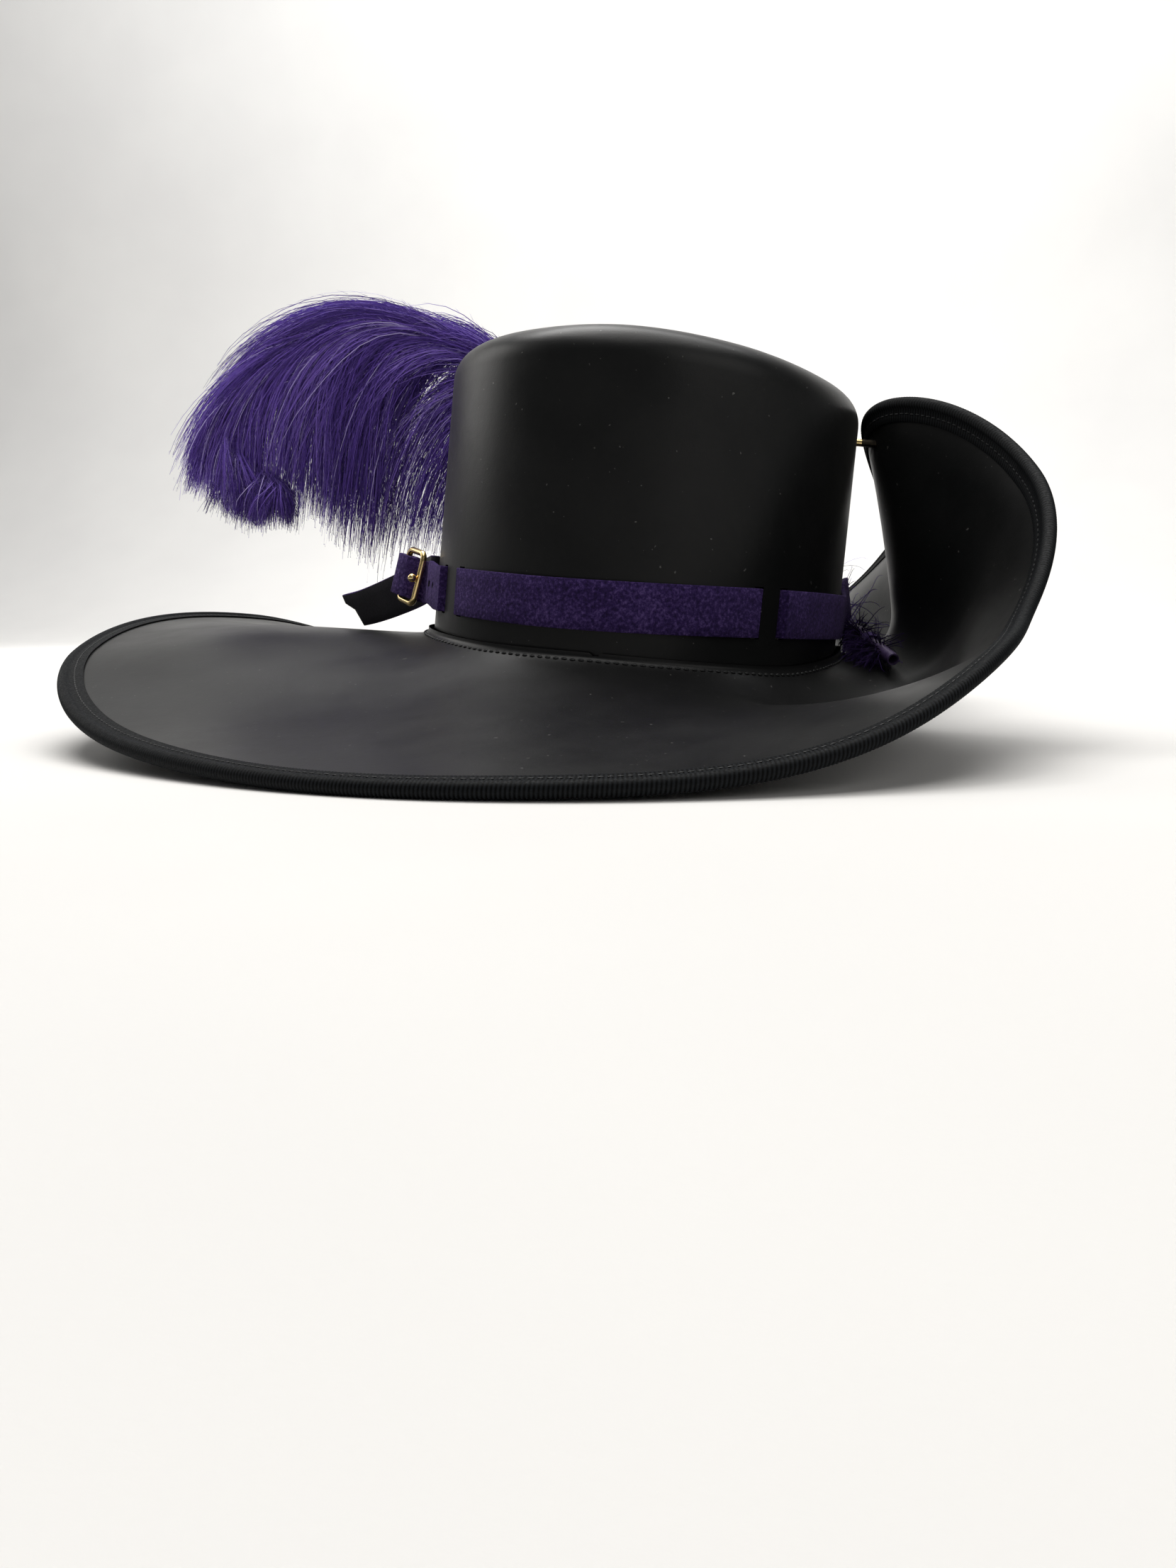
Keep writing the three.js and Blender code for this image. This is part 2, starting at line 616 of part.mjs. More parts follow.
// ---------------------------------------------------------------- quill
// The bare end of the plume's shaft, cut off hollow, tucked behind the band and rising round the back.
const quillLine = new THREE.CatmullRomCurve3(
  [
    ...QUILL_OUT.map((p) => new THREE.Vector3(p.x, p.y, p.z)),
    ...QUILL_RUN.map((p) => round(p.phi, p.n, p.z)),
  ],
  false,
  "centripetal",
);
const quillLong = quillLine.getLength();
function quillRing(distance, radius, sides = 8) {
  const u = clamp(distance / quillLong, 0, 1);
  const mid = quillLine.getPointAt(u);
  const along = quillLine.getTangentAt(u);
  const up = new THREE.Vector3(0, 0, 1).addScaledVector(along, -along.z).normalize();
  const out = along.clone().cross(up);
  return Array.from({ length: sides }, (_, i) => {
    const a = (2 * Math.PI * i) / sides;
    return mid
      .clone()
      .addScaledVector(out, radius * Math.cos(a))
      .addScaledVector(up, radius * Math.sin(a));
  });
}
const quillSteps = Array.from({ length: 29 }, (_, i) => (quillLong * i) / 28);
const quillRadius = (d) => QUILL.radius + (QUILL.end - QUILL.radius) * Math.max(0, d / quillLong) ** 1.5;
const quill = loft([
  ...[1, 0.5, 0].map((share) => quillRing(QUILL.deep * share, QUILL.bore)),
  ...quillSteps.map((d) => quillRing(d, quillRadius(d))),
]);
add("quill", quill, "horn");

// A turn of thread wound round the quill just below the band.
const wrapRows = [
  [WRAP.from, QUILL.radius + GAP],
  [WRAP.to, QUILL.radius + GAP],
  [WRAP.to, QUILL.radius + GAP + WRAP.thick],
  [WRAP.from, QUILL.radius + GAP + WRAP.thick],
].map(([d, r]) => quillRing(d, r, 12));
add("quill_wrap", gridBody(12, 4, (i, j) => wrapRows[j][i], true), "feather");

// ---------------------------------------------------------------- plume
// The outer form of the feather's vane: a thin leaf round the crown's back that arches out to the left.
const ribs = [
  ...PLUME_BEHIND.map((p) => ({
    top: round(p.phi, p.n, p.top),
    low: round(p.phi, p.n, p.low),
    thick: p.thick,
  })),
  ...PLUME_FREE.map((p) => ({
    top: new THREE.Vector3(...p.top),
    low: new THREE.Vector3(...p.low),
    thick: p.thick,
  })),
];
const topLine = new THREE.CatmullRomCurve3(ribs.map((p) => p.top));
const lowLine = new THREE.CatmullRomCurve3(ribs.map((p) => p.low));
const midLine = new THREE.CatmullRomCurve3(ribs.map((p) => p.top.clone().add(p.low).multiplyScalar(0.5)));
const plumeRings = [];
const last = (ribs.length - 1) * 2;
for (let k = 0; k <= last; k++) {
  const u = k / last;
  const [top, low, way] = [topLine.getPoint(u), lowLine.getPoint(u), midLine.getTangent(u)];
  const i = Math.min(Math.floor(k / 2), ribs.length - 2);
  const thick = ribs[i].thick + (ribs[i + 1].thick - ribs[i].thick) * (k / 2 - i);
  const mid = top.clone().add(low).multiplyScalar(0.5);
  const axis = top.clone().sub(mid);
  const out = way.clone().cross(axis).normalize();
  plumeRings.push(
    Array.from({ length: 12 }, (_, j) => {
      const a = rad(30 * j);
      return mid
        .clone()
        .addScaledVector(axis, Math.cos(a))
        .addScaledVector(out, (thick / 2) * Math.sin(a));
    }),
  );
}
add("plume", loft(plumeRings), "feather");

// ---------------------------------------------------------------- standing on the floor
// The hat is rolled a little so that its front left and back edges carry it, and the binding is pressed
// flat where it touches.
const stand = new THREE.Matrix4()
  .makeRotationY(rad(STAND.roll))
  .setPosition(new THREE.Vector3(...STAND.shift));
const floor = placed(
  new THREE.BoxGeometry(700, 700, 20),
  stand.clone().invert().multiply(new THREE.Matrix4().makeTranslation(0, 0, -10)),
);
add("edge_binding", binding.subtract(floor), "tape");

hat.applyMatrix4(stand);
const part = new THREE.Group();
part.add(hat);
export default part;
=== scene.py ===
import math
import random

import bmesh
import bpy
import numpy as np
from mathutils import Matrix, Vector
from mathutils.bvhtree import BVHTree


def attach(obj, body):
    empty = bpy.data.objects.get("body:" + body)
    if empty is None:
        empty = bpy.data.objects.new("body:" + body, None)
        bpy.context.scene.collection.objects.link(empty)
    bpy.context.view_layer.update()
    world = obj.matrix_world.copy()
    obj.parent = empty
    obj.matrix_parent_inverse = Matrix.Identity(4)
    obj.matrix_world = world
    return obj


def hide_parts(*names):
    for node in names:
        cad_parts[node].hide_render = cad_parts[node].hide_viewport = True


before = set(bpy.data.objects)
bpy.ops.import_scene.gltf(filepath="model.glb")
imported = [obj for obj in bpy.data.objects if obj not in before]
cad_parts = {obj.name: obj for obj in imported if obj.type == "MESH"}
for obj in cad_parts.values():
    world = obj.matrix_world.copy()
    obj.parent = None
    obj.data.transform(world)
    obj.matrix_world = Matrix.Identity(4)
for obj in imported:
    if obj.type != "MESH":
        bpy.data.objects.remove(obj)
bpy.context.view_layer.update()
random.seed(11)
chance = np.random.default_rng(11)

# -------- how the hat rests, and the view of it
# The hat is drawn upright in millimetres, from the middle of the crown's foot, with its front at -Y and the
# pinned-up side at +X. It rests rolled a little towards +X, and the camera looks at its front from low down.
ROLL = Matrix.Rotation(math.radians(6.0), 4, "Y")
RESTING = Matrix.Translation((0.0479, -0.00015, 0.02975)) @ ROLL @ Matrix.Scale(0.001, 4)

CAMERA_AT = Vector((66.6, -519.8, 26.3))
turn, dip, tilt = 0.1561, 0.1621, 0.0878  # in radians
ahead = Vector((-math.sin(turn) * math.cos(dip), math.cos(turn) * math.cos(dip), -math.sin(dip)))
right = Vector((math.cos(turn), math.sin(turn), 0))
over = right.cross(ahead)
across_view = right * math.cos(tilt) + over * math.sin(tilt)
up_view = over * math.cos(tilt) - right * math.sin(tilt)
lens = bpy.data.cameras.new("camera")
lens.lens = 27.67
lens.clip_start = 0.01
camera = bpy.data.objects.new("camera", lens)
bpy.context.scene.collection.objects.link(camera)
facing = Matrix((across_view, up_view, -ahead)).transposed().to_4x4()
camera.matrix_world = Matrix.Translation(RESTING @ CAMERA_AT) @ ROLL @ facing
bpy.context.scene.camera = camera

# -------- floor and light
# A seamless pale paper sweep: a flat floor that curves up into a backdrop behind the hat. Two large soft
# lights hang over it, a weaker one stands at each side and one washes the backdrop.
SWEEP_WIDE = 8.0


def material(name, colour, roughness, **settings):
    """A new finish with its even values set on the shader itself."""
    made = bpy.data.materials.new(name)
    made.use_nodes = True
    shader = made.node_tree.nodes["Principled BSDF"]
    shader.inputs["Base Color"].default_value = (*colour, 1)
    shader.inputs["Roughness"].default_value = roughness
    for key, value in settings.items():
        shader.inputs[key.replace("_", " ")].default_value = value
    return made


def add(made, kind, feeds=None, **settings):
    """A node in a finish. `feeds` gives its inputs by name or number, as values or other nodes' outputs."""
    made_node = made.node_tree.nodes.new("ShaderNode" + kind)
    for key, value in settings.items():
        setattr(made_node, key, value)
    for key, value in (feeds or {}).items():
        if isinstance(value, bpy.types.NodeSocket):
            made.node_tree.links.new(value, made_node.inputs[key])
        else:
            made_node.inputs[key].default_value = value
    return made_node


def shades(made, factor, *stops):
    """A colour picked by a factor, between stops of (place, colour)."""
    ramp = add(made, "ValToRGB", {0: factor})
    while len(ramp.color_ramp.elements) < len(stops):
        ramp.color_ramp.elements.new(0.5)
    for element, (place, colour) in zip(ramp.color_ramp.elements, stops):
        element.position = place
        element.color = (*colour, 1)
    return ramp.outputs["Color"]


def spread(made, factor, low, high, start=0.3, end=0.7):
    """A number between low and high as the factor goes from start to end."""
    return add(made, "MapRange", {0: factor, 1: start, 2: end, 3: low, 4: high}).outputs[0]


def speckle(made, scale, detail=3.0, rough=0.55):
    """Cloudy noise that stays with the piece, `scale` to the metre."""
    place = add(made, "TexCoord").outputs["Object"]
    feeds = {"Vector": place, "Scale": scale, "Detail": detail, "Roughness": rough}
    return add(made, "TexNoise", feeds).outputs[0]


def raised(made, height, strength, distance, below=None):
    """Small relief from a height."""
    feeds = {"Height": height, "Strength": strength, "Distance": distance}
    if below is not None:
        feeds["Normal"] = below
    return add(made, "Bump", feeds).outputs[0]


def wear(made, **outputs):
    """Joins outputs to the shader's sockets."""
    shader = made.node_tree.nodes["Principled BSDF"]
    for key, value in outputs.items():
        made.node_tree.links.new(value, shader.inputs[key.replace("_", " ")])


paper = material("pale_paper", (0.8, 0.79, 0.77), 0.9)
mottle = speckle(paper, 3.0)
wear(
    paper,
    Base_Color=shades(paper, mottle, (0.3, (0.78, 0.77, 0.755)), (0.7, (0.83, 0.82, 0.80))),
    Normal=raised(paper, speckle(paper, 900.0), 0.1, 0.0002),
)
bm = bmesh.new()
near, far, bend, high = -3.0, 1.6, 0.9, 3.4
first = bm.verts.new((0, near, 0))
second = bm.verts.new((0, far, 0))
bm.edges.new((first, second))
curve = bmesh.ops.spin(
    bm, geom=[second], cent=(0, far, bend), axis=(1, 0, 0), angle=math.pi / 2, steps=24, use_duplicate=False
)
last = [v for v in curve["geom_last"] if isinstance(v, bmesh.types.BMVert)][0]
lift = bmesh.ops.extrude_vert_indiv(bm, verts=[last])["verts"]
bmesh.ops.translate(bm, verts=lift, vec=(0, 0, high - bend))
bmesh.ops.translate(bm, verts=bm.verts, vec=(-SWEEP_WIDE / 2, 0, 0))
drawn = bmesh.ops.extrude_edge_only(bm, edges=bm.edges[:])["geom"]
drawn = [v for v in drawn if isinstance(v, bmesh.types.BMVert)]
bmesh.ops.translate(bm, verts=drawn, vec=(SWEEP_WIDE, 0, 0))
bmesh.ops.recalc_face_normals(bm, faces=bm.faces)
if sum(f.normal.z for f in bm.faces) < 0:
    bmesh.ops.reverse_faces(bm, faces=bm.faces)
sweep = bpy.data.objects.new("paper_sweep", bpy.data.meshes.new("paper_sweep"))
bm.to_mesh(sweep.data)
bm.free()
sweep.data.shade_smooth()
sweep.data.materials.append(paper)
bpy.context.scene.collection.objects.link(sweep)


def softbox(name, at, towards, size, power, colour=(1, 1, 1)):
    """A rectangular soft light, aimed at a point."""
    lamp = bpy.data.lights.new(name, "AREA")
    lamp.shape = "RECTANGLE"
    lamp.size, lamp.size_y = size
    lamp.energy = power
    lamp.color = colour
    box = bpy.data.objects.new(name, lamp)
    bpy.context.scene.collection.objects.link(box)
    away = Vector(at) - Vector(towards)
    box.matrix_world = Matrix.Translation(at) @ away.to_track_quat("Z", "Y").to_matrix().to_4x4()


softbox("ceiling_lamp", (-0.45, 0.45, 1.8), (-0.05, 0.05, 0.0), (1.2, 1.0), 16, (1, 0.985, 0.96))
softbox("ceiling_lamp_front", (0.15, -0.2, 1.8), (0.0, 0.0, 0.0), (1.7, 1.2), 17, (1, 0.985, 0.96))
softbox("side_wash", (-1.5, 0.5, 0.9), (0.0, 0.0, 0.1), (0.9, 0.9), 6, (1, 0.98, 0.95))
softbox("right_fill", (1.3, -1.0, 0.9), (0.0, 0.0, 0.1), (1.6, 1.0), 5, (1, 0.98, 0.95))
softbox("backdrop_wash", (0.0, 1.0, 2.4), (0.0, 2.4, 0.9), (3.0, 0.8), 60)
room = bpy.data.worlds.new("room")
room.use_nodes = True
room.node_tree.nodes["Background"].inputs["Color"].default_value = (0.95, 0.97, 1.0, 1)
room.node_tree.nodes["Background"].inputs["Strength"].default_value = 0.1
bpy.context.scene.world = room
bpy.context.scene.view_settings.view_transform = "Standard"

# -------- crown
# A plain dome-cornered cup of 2 mm black leather, moulded in one piece and open below, with four upright
# slots cut in pairs for the band and one small hole for the brim's stud.
OVAL = (84.5, 103.5)  # half the crown's foot, across and from front to back
LEATHER = 2.0
GAP = 0.3
TAPER, CROWN_FOOT, SHOULDER, TOP_MIDDLE = 1.5 / 115, -2.0, 12.0, 115.0
FOOT_ROUND, SHOULDER_ROWS, TOP_ROWS = 0.5, 12, 12
RIM = [  # round the crown in degrees: height of its rim
    (0, 115.7), (30, 113.8), (60, 111), (90, 110.5), (120, 111), (150, 112),
    (180, 113), (210, 113.8), (240, 114.2), (270, 114.3), (300, 114.3), (330, 115),
]
SLOTS = [-55, -44, 39, 47]
SLOT_WIDE, SLOT_TALL = 4.2, 18.7
BAND_RUN = [  # round the crown in degrees: distance outside it, height of the band's middle, lean
    (-62, 1.2, 20.6, 0), (-20, 1.2, 19.6, 0), (0, 1.2, 20, 0), (39, 1.2, 22, 0), (60, 1.2, 22.6, 0),
    (80, 1.2, 22.7, 0), (88, 1.2, 22.9, 0), (96, 2.2, 25.4, 5), (100, 3.8, 29.3, 10), (104, 6.3, 31.2, 12),
    (112, 7.2, 29.4, 6), (120, 7.2, 27.5, 0), (128, 7.1, 25.6, 0), (137, 4.2, 23.8, 0), (147, 1.5, 22.8, 0),
    (158, 1.2, 22.2, 0), (180, 1.2, 21.6, 0), (236, 1.2, 21.6, 0), (262, 1.2, 22.6, 0), (283, 1.2, 24.6, 0),
]
STUD_PHI, STUD_AT, STUD_HOLE = 94, 94.5, 1.8
STUD_PATCH = 2.4  # height of the wall's cells round the stud's hole
HOLE_NEAR = 9.0  # the corners that a hole is opened from are looked for this near


def between(a, slope_a, b, slope_b, t):
    """A smooth step from a to b, with the slope given at each."""
    start = a * (2 * t**3 - 3 * t**2 + 1) + slope_a * (t**3 - 2 * t**2 + t)
    return start + b * (3 * t**2 - 2 * t**3) + slope_b * (t**3 - t**2)


def column(table, k, phi, closed=True):
    """Column k of a table at an angle, joined smoothly."""
    n = len(table)

    def row(i):
        if not closed:
            i = min(max(i, 0), n - 1)
        return table[i % n][0] + 360 * (i // n), table[i % n][k]

    if closed:
        phi %= 360
    i = max([j for j in range(n) if table[j][0] <= phi], default=0)
    if not closed:
        i = min(i, n - 2)
    (ox, o), (ax, a), (bx, b), (cx, c) = (row(i + d) for d in (-1, 0, 1, 2))
    h = bx - ax
    return between(a, (b - o) / (bx - ox) * h, b, (c - a) / (cx - ax) * h, (phi - ax) / h)


def round_crown(phi, n, z):
    """The point at an angle from the front, n outside the oval of the crown's foot, at height z."""
    s, c = math.sin(math.radians(phi)), math.cos(math.radians(phi))
    out = Vector((s / OVAL[0], -c / OVAL[1])).normalized()
    return Vector((OVAL[0] * s + out.x * n, -OVAL[1] * c + out.y * n, z))


def band_height(phi):
    """The height of the band's middle at an angle, on its way round from its first end to its last."""
    return column(BAND_RUN, 2, phi if phi > BAND_RUN[-1][0] - 360 else phi + 360, closed=False)


def laid(across, along, place):
    """A grid of cells with each corner moved to place(i, j), and the corners that meet joined."""
    bm = bmesh.new()
    bm.loops.layers.uv.new("UVMap")
    bmesh.ops.create_grid(bm, x_segments=across, y_segments=along, size=0.5, calc_uvs=True)
    for v in bm.verts:
        v.co = place(round((v.co.x + 0.5) * across), round((v.co.y + 0.5) * along))
    bmesh.ops.remove_doubles(bm, verts=bm.verts, dist=1e-4)
    return bm


def cut(bm, doomed):
    """Takes faces away from both skins of a wall and closes the wall round each opening."""
    bmesh.ops.delete(bm, geom=doomed, context="FACES")
    edge = [e for e in bm.edges if e.is_boundary]
    if edge:
        for face in bmesh.ops.bridge_loops(bm, edges=edge)["faces"]:
            face.material_index = 1


def pierce(bm, centre, axis, radius):
    """A round hole through both skins, about the corner of each that is nearest to the axis."""

    def off_axis(v):
        return ((v.co - centre) - axis * (v.co - centre).dot(axis)).length

    close = []
    for v in sorted((v for v in bm.verts if (v.co - centre).length < HOLE_NEAR), key=off_axis):
        if all(not set(v.link_faces) & set(o.link_faces) for o in close):
            close.append(v)
        if len(close) == 2:
            break
    faces = list({f for v in close for f in v.link_faces})
    rim = {v for f in faces for v in f.verts} - set(close)
    for v in rim:
        depth = axis * (v.co - centre).dot(axis)
        v.co = centre + depth + (v.co - centre - depth).normalized() * radius
    cut(bm, faces)


def piece(name, bm, slot, *finishes, stands_for=(), sharp=38, closed=True):
    """Sets a finished mesh down where the hat rests and makes it part of the hat."""
    bmesh.ops.transform(bm, matrix=RESTING, verts=bm.verts)
    for v in bm.verts:  # pressed flat where it touches what the hat stands on
        v.co.z = max(v.co.z, 0.0)
    if closed:
        bmesh.ops.recalc_face_normals(bm, faces=bm.faces)
    made = bpy.data.objects.new(name, bpy.data.meshes.new(name))
    bm.to_mesh(made.data)
    bm.free()
    made.data.shade_smooth()
    made.data.set_sharp_from_angle(angle=math.radians(sharp))
    for one in finishes:
        made.data.materials.append(one)
    bpy.context.scene.collection.objects.link(made)
    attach(made, "root")
    if stands_for:
        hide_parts(*stands_for)
    return made


def steps(first, last, count):
    """Even steps from first to last, without first itself."""
    return [first + (last - first) * k / count for k in range(1, count + 1)]


slot_half = math.degrees(SLOT_WIDE / sum(OVAL))
slot_sides = [phi + side * slot_half for phi in SLOTS for side in (-1, 1)]
crown_turns = sorted(
    [phi for phi in range(-180, 180, 2) if min(abs(phi - side) for side in slot_sides) > 0.7] + slot_sides
)


def crown_line(phi, skin):
    """The wall's line from its foot over the shoulder to the middle of the top."""
    rim = column(RIM, 1, phi)
    top = rim - SHOULDER
    middle = band_height(phi)
    low, high = middle - SLOT_TALL / 2, middle + SLOT_TALL / 2
    heights = [CROWN_FOOT, CROWN_FOOT + FOOT_ROUND]
    heights += steps(CROWN_FOOT + FOOT_ROUND, low, 4) + steps(low, high, 5)
    heights += steps(high, STUD_AT - STUD_PATCH, 14) + [STUD_AT, STUD_AT + STUD_PATCH]
    line = [(-TAPER * z - skin, z) for z in heights]
    if skin == 0:  # the foot's outer corner is rounded off
        line[0] = (line[0][0] - FOOT_ROUND / 2, CROWN_FOOT)
    corner = SHOULDER - skin
    for k in range(SHOULDER_ROWS + 1):
        a = math.radians(90 * k / SHOULDER_ROWS)
        line.append((-TAPER * top - SHOULDER + corner * math.cos(a), top + corner * math.sin(a)))
    line = [round_crown(phi, n, z) for n, z in line]
    edge = line[-1]
    peak = TOP_MIDDLE - skin
    for k in range(1, TOP_ROWS + 1):
        share = 1 - k / TOP_ROWS
        line.append(Vector((edge.x * share, edge.y * share, peak + (edge.z - peak) * share * share)))
    return line


crown_lines = [list(reversed(crown_line(phi, LEATHER))) + crown_line(phi, 0) for phi in crown_turns]
bm = laid(len(crown_turns), len(crown_lines[0]) - 1, lambda i, j: crown_lines[i % len(crown_turns)][j])


def in_slot(face, slot):
    mid = face.calc_center_median()
    phi = math.degrees(math.atan2(mid.x / OVAL[0], -mid.y / OVAL[1]))
    return abs(phi - slot) < slot_half and abs(mid.z - band_height(phi)) < SLOT_TALL / 2


for slot in SLOTS:
    cut(bm, [f for f in bm.faces if in_slot(f, slot)])
stud_foot = round_crown(STUD_PHI, 0, STUD_AT)
stud_way = round_crown(STUD_PHI, 1, STUD_AT) - stud_foot
pierce(bm, stud_foot - stud_way * LEATHER, stud_way, STUD_HOLE)

leather = material(
    "black_leather", (0.004, 0.004, 0.0042), 0.42,
    Specular_IOR_Level=0.26, Sheen_Weight=0.03, Sheen_Roughness=0.34, Sheen_Tint=(1.0, 0.96, 0.9, 1),
)
clouds = speckle(leather, 22.0, 5.0)
pores = speckle(leather, 1900.0, 2.0)
creases = speckle(leather, 160.0, 6.0, 0.7)
dust = speckle(leather, 520.0, 1.0)
dusty = spread(leather, dust, 0.0, 1.0, 0.755, 0.80)
worn = shades(leather, clouds, (0.3, (0.0030, 0.0034, 0.0037)), (0.75, (0.0065, 0.0067, 0.0068)))
specks = add(leather, "Mix", {0: dusty, 6: worn, 7: (0.08, 0.078, 0.075, 1)}, data_type="RGBA")
relief = raised(leather, creases, 0.10, 0.0006)
wear(
    leather,
    Base_Color=specks.outputs[2],
    Roughness=spread(leather, clouds, 0.32, 0.44),
    Normal=raised(leather, pores, 0.12, 0.0002, relief),
)
edge_paint = material("edge_paint", (0.002, 0.002, 0.002), 0.8, Specular_IOR_Level=0.0)
grain = speckle(edge_paint, 900.0)
wear(
    edge_paint,
    Base_Color=shades(edge_paint, grain, (0.3, (0.0012, 0.0012, 0.0013)), (0.7, (0.0045, 0.0043, 0.0042))),
    Roughness=spread(edge_paint, grain, 0.7, 0.9),
)
piece("crown_shell", bm, "leather", leather, edge_paint, stands_for=["crown"])

# -------- brim
# One wide piece of the same leather, wet-moulded to a long dip at the front and back and rolled up to the
# crown on one side. Its inner edge is turned up round the crown's foot as a narrow collar.
COLLAR_TALL, COLLAR_LIP, COLLAR_BEND, COLLAR_FLARE, COLLAR_ROWS = 2.0, 1.0, 2.6, 14.0, 14
SEAM_OUT = 1.5  # the brim's width and height are given from here, outside the crown's foot
BRIM = [  # angle: width, height at the seam, slope there and at the edge, where it bends, half the bend
    (0, 122, 0, -17, -10, 43, 40), (25, 119, 0, -18, 2, 22, 20), (50, 115, 1, -36, 46, 40, 16),
    (70, 121, 2.5, -4, 73, 38, 25), (90, 119, 3, 36, 99, 23, 14), (110, 115, 2.5, 8, 113, 42, 18),
    (130, 119, 1, 0, 95, 56, 30), (155, 121, 0, -4, 30, 46, 44), (180, 122, 0, -12.5, -11.5, 55, 45),
    (215, 128, 0, -15.5, -10.5, 55, 45), (250, 137, 0, -7, 5, 78, 50), (290, 144, 0, -2, -13, 72, 50),
    (330, 127, 0, -28, -10, 45, 43),
]
NOTCH_DEEP, NOTCH_HALF = 1.6, 1.3  # depth of the collar's notch in front, and half its width in degrees
STUD_AT_BRIM = 6.5  # the stud passes the brim this far outside the crown's foot
TAPE_WIDE, TAPE_ROLL, TAPE_TUCK = 9.5, 2.6, 4.9
STEP = 0.5


class Section:
    """The brim's section at an angle: points (distance, height, slope) over its upper face."""

    def __init__(self, phi):
        self.phi = phi
        self.width, foot, slope, edge, bend, half = (column(BRIM, k, phi) for k in range(1, 7))
        t = math.radians(slope)
        start = GAP + LEATHER
        r = start + COLLAR_BEND * (1 + math.sin(t))
        top = foot + (r - SEAM_OUT) * math.tan(t) + COLLAR_BEND * math.cos(t) + COLLAR_TALL
        lip = top - COLLAR_LIP
        r += COLLAR_FLARE
        z = foot + (r - SEAM_OUT) * math.tan(t)
        corner = foot + (start - SEAM_OUT) * math.tan(t)
        self.collar = [(start, top, -math.pi / 2), (start, lip, -math.pi / 2)]
        for k in range(1, COLLAR_ROWS):
            u = k / COLLAR_ROWS
            down, out = (corner - lip) * (1 - u) + (z - corner) * u, (r - start) * u
            height = lip * (1 - u) ** 2 + 2 * corner * u * (1 - u) + z * u * u
            self.collar.append((start + (r - start) * u * u, height, math.atan2(down, out)))

        def angle(s):
            x = min(max((s - bend + half) / (2 * half), 0), 1)
            return math.radians(slope + (edge - slope) * x * x * (3 - 2 * x))

        s = (r - SEAM_OUT) / math.cos(t)
        self.start = s
        self.path = []
        while s < self.width + STEP:
            self.path.append((r, z, angle(s)))
            a = angle(s + STEP / 2)
            r += STEP * math.cos(a)
            z += STEP * math.sin(a)
            s += STEP

    def find(self, s):
        """The point at a distance s from the seam."""
        k = min(max((s - self.start) / STEP, 0), len(self.path) - 1.001)
        p, q = self.path[int(k)], self.path[int(k) + 1]
        return tuple(p[m] + (q[m] - p[m]) * (k % 1) for m in range(3))

    def under(self, p, deep, out=0.0):
        """The point of the section below its upper face at p, moved `out` along the section."""
        s, c = math.sin(p[2]), math.cos(p[2])
        return round_crown(self.phi, p[0] + s * deep + c * out, p[1] - c * deep + s * out)


def distances(line):
    """How far along a line of points each of them lies."""
    return np.cumsum([0] + [(b - a).length for a, b in zip(line, line[1:])])


# places round the brim, even along its edge
BRIM_ROWS, BRIM_PLACES = 44, 460
rough_turns = range(0, 361, 2)
rough_edge = []
for phi in rough_turns:
    section = Section(phi)
    rough_edge.append(section.under(section.find(section.width), LEATHER / 2))
walked = distances(rough_edge)
EDGE_LONG = float(walked[-1])
places = np.interp(np.arange(BRIM_PLACES) * EDGE_LONG / BRIM_PLACES, walked, rough_turns)
sections = [Section(float(phi)) for phi in places]


def brim_ring(section):
    last = section.width - TAPE_TUCK
    rows = section.collar + [section.find(s) for s in [section.start, *steps(section.start, last, BRIM_ROWS)]]
    notch = NOTCH_DEEP * max(0, 1 - abs((section.phi + 180) % 360 - 180) / NOTCH_HALF)
    upper = [section.under(p, 0) for p in rows]
    lower = [section.under(p, LEATHER) for p in rows]
    for skin in (upper, lower):
        skin[0].z -= notch
    return upper + lower[::-1]


brim_rings = [brim_ring(section) for section in sections]
rows = len(brim_rings[0])
bm = laid(BRIM_PLACES, rows, lambda i, j: brim_rings[i % BRIM_PLACES][j % rows])
pierce(bm, stud_foot + stud_way * STUD_AT_BRIM, stud_way, STUD_HOLE)
uv = bm.loops.layers.uv.active
for face in bm.faces:  # the collar's upper edge is cut and painted too
    if min(loop[uv].uv.y for loop in face.loops) > (rows - 1.1) / rows:
        face.material_index = 1
brim = piece("brim_leather", bm, "leather", leather, edge_paint, stands_for=["brim"])

# -------- seam round the crown
# Black waxed thread in a straight row of stitches through the brim's collar, each stitch a short plump
# length that dips into the leather at both ends.
STITCH, STITCH_THICK = 3.1, 1.15
thread = material("waxed_thread", (0.02, 0.02, 0.02), 0.42, Specular_IOR_Level=0.2)
strands = speckle(thread, 2600.0, 2.0)
wear(
    thread,
    Base_Color=shades(thread, strands, (0.3, (0.005, 0.005, 0.006)), (0.7, (0.032, 0.034, 0.034))),
    Normal=raised(thread, strands, 0.5, 0.0002),
)


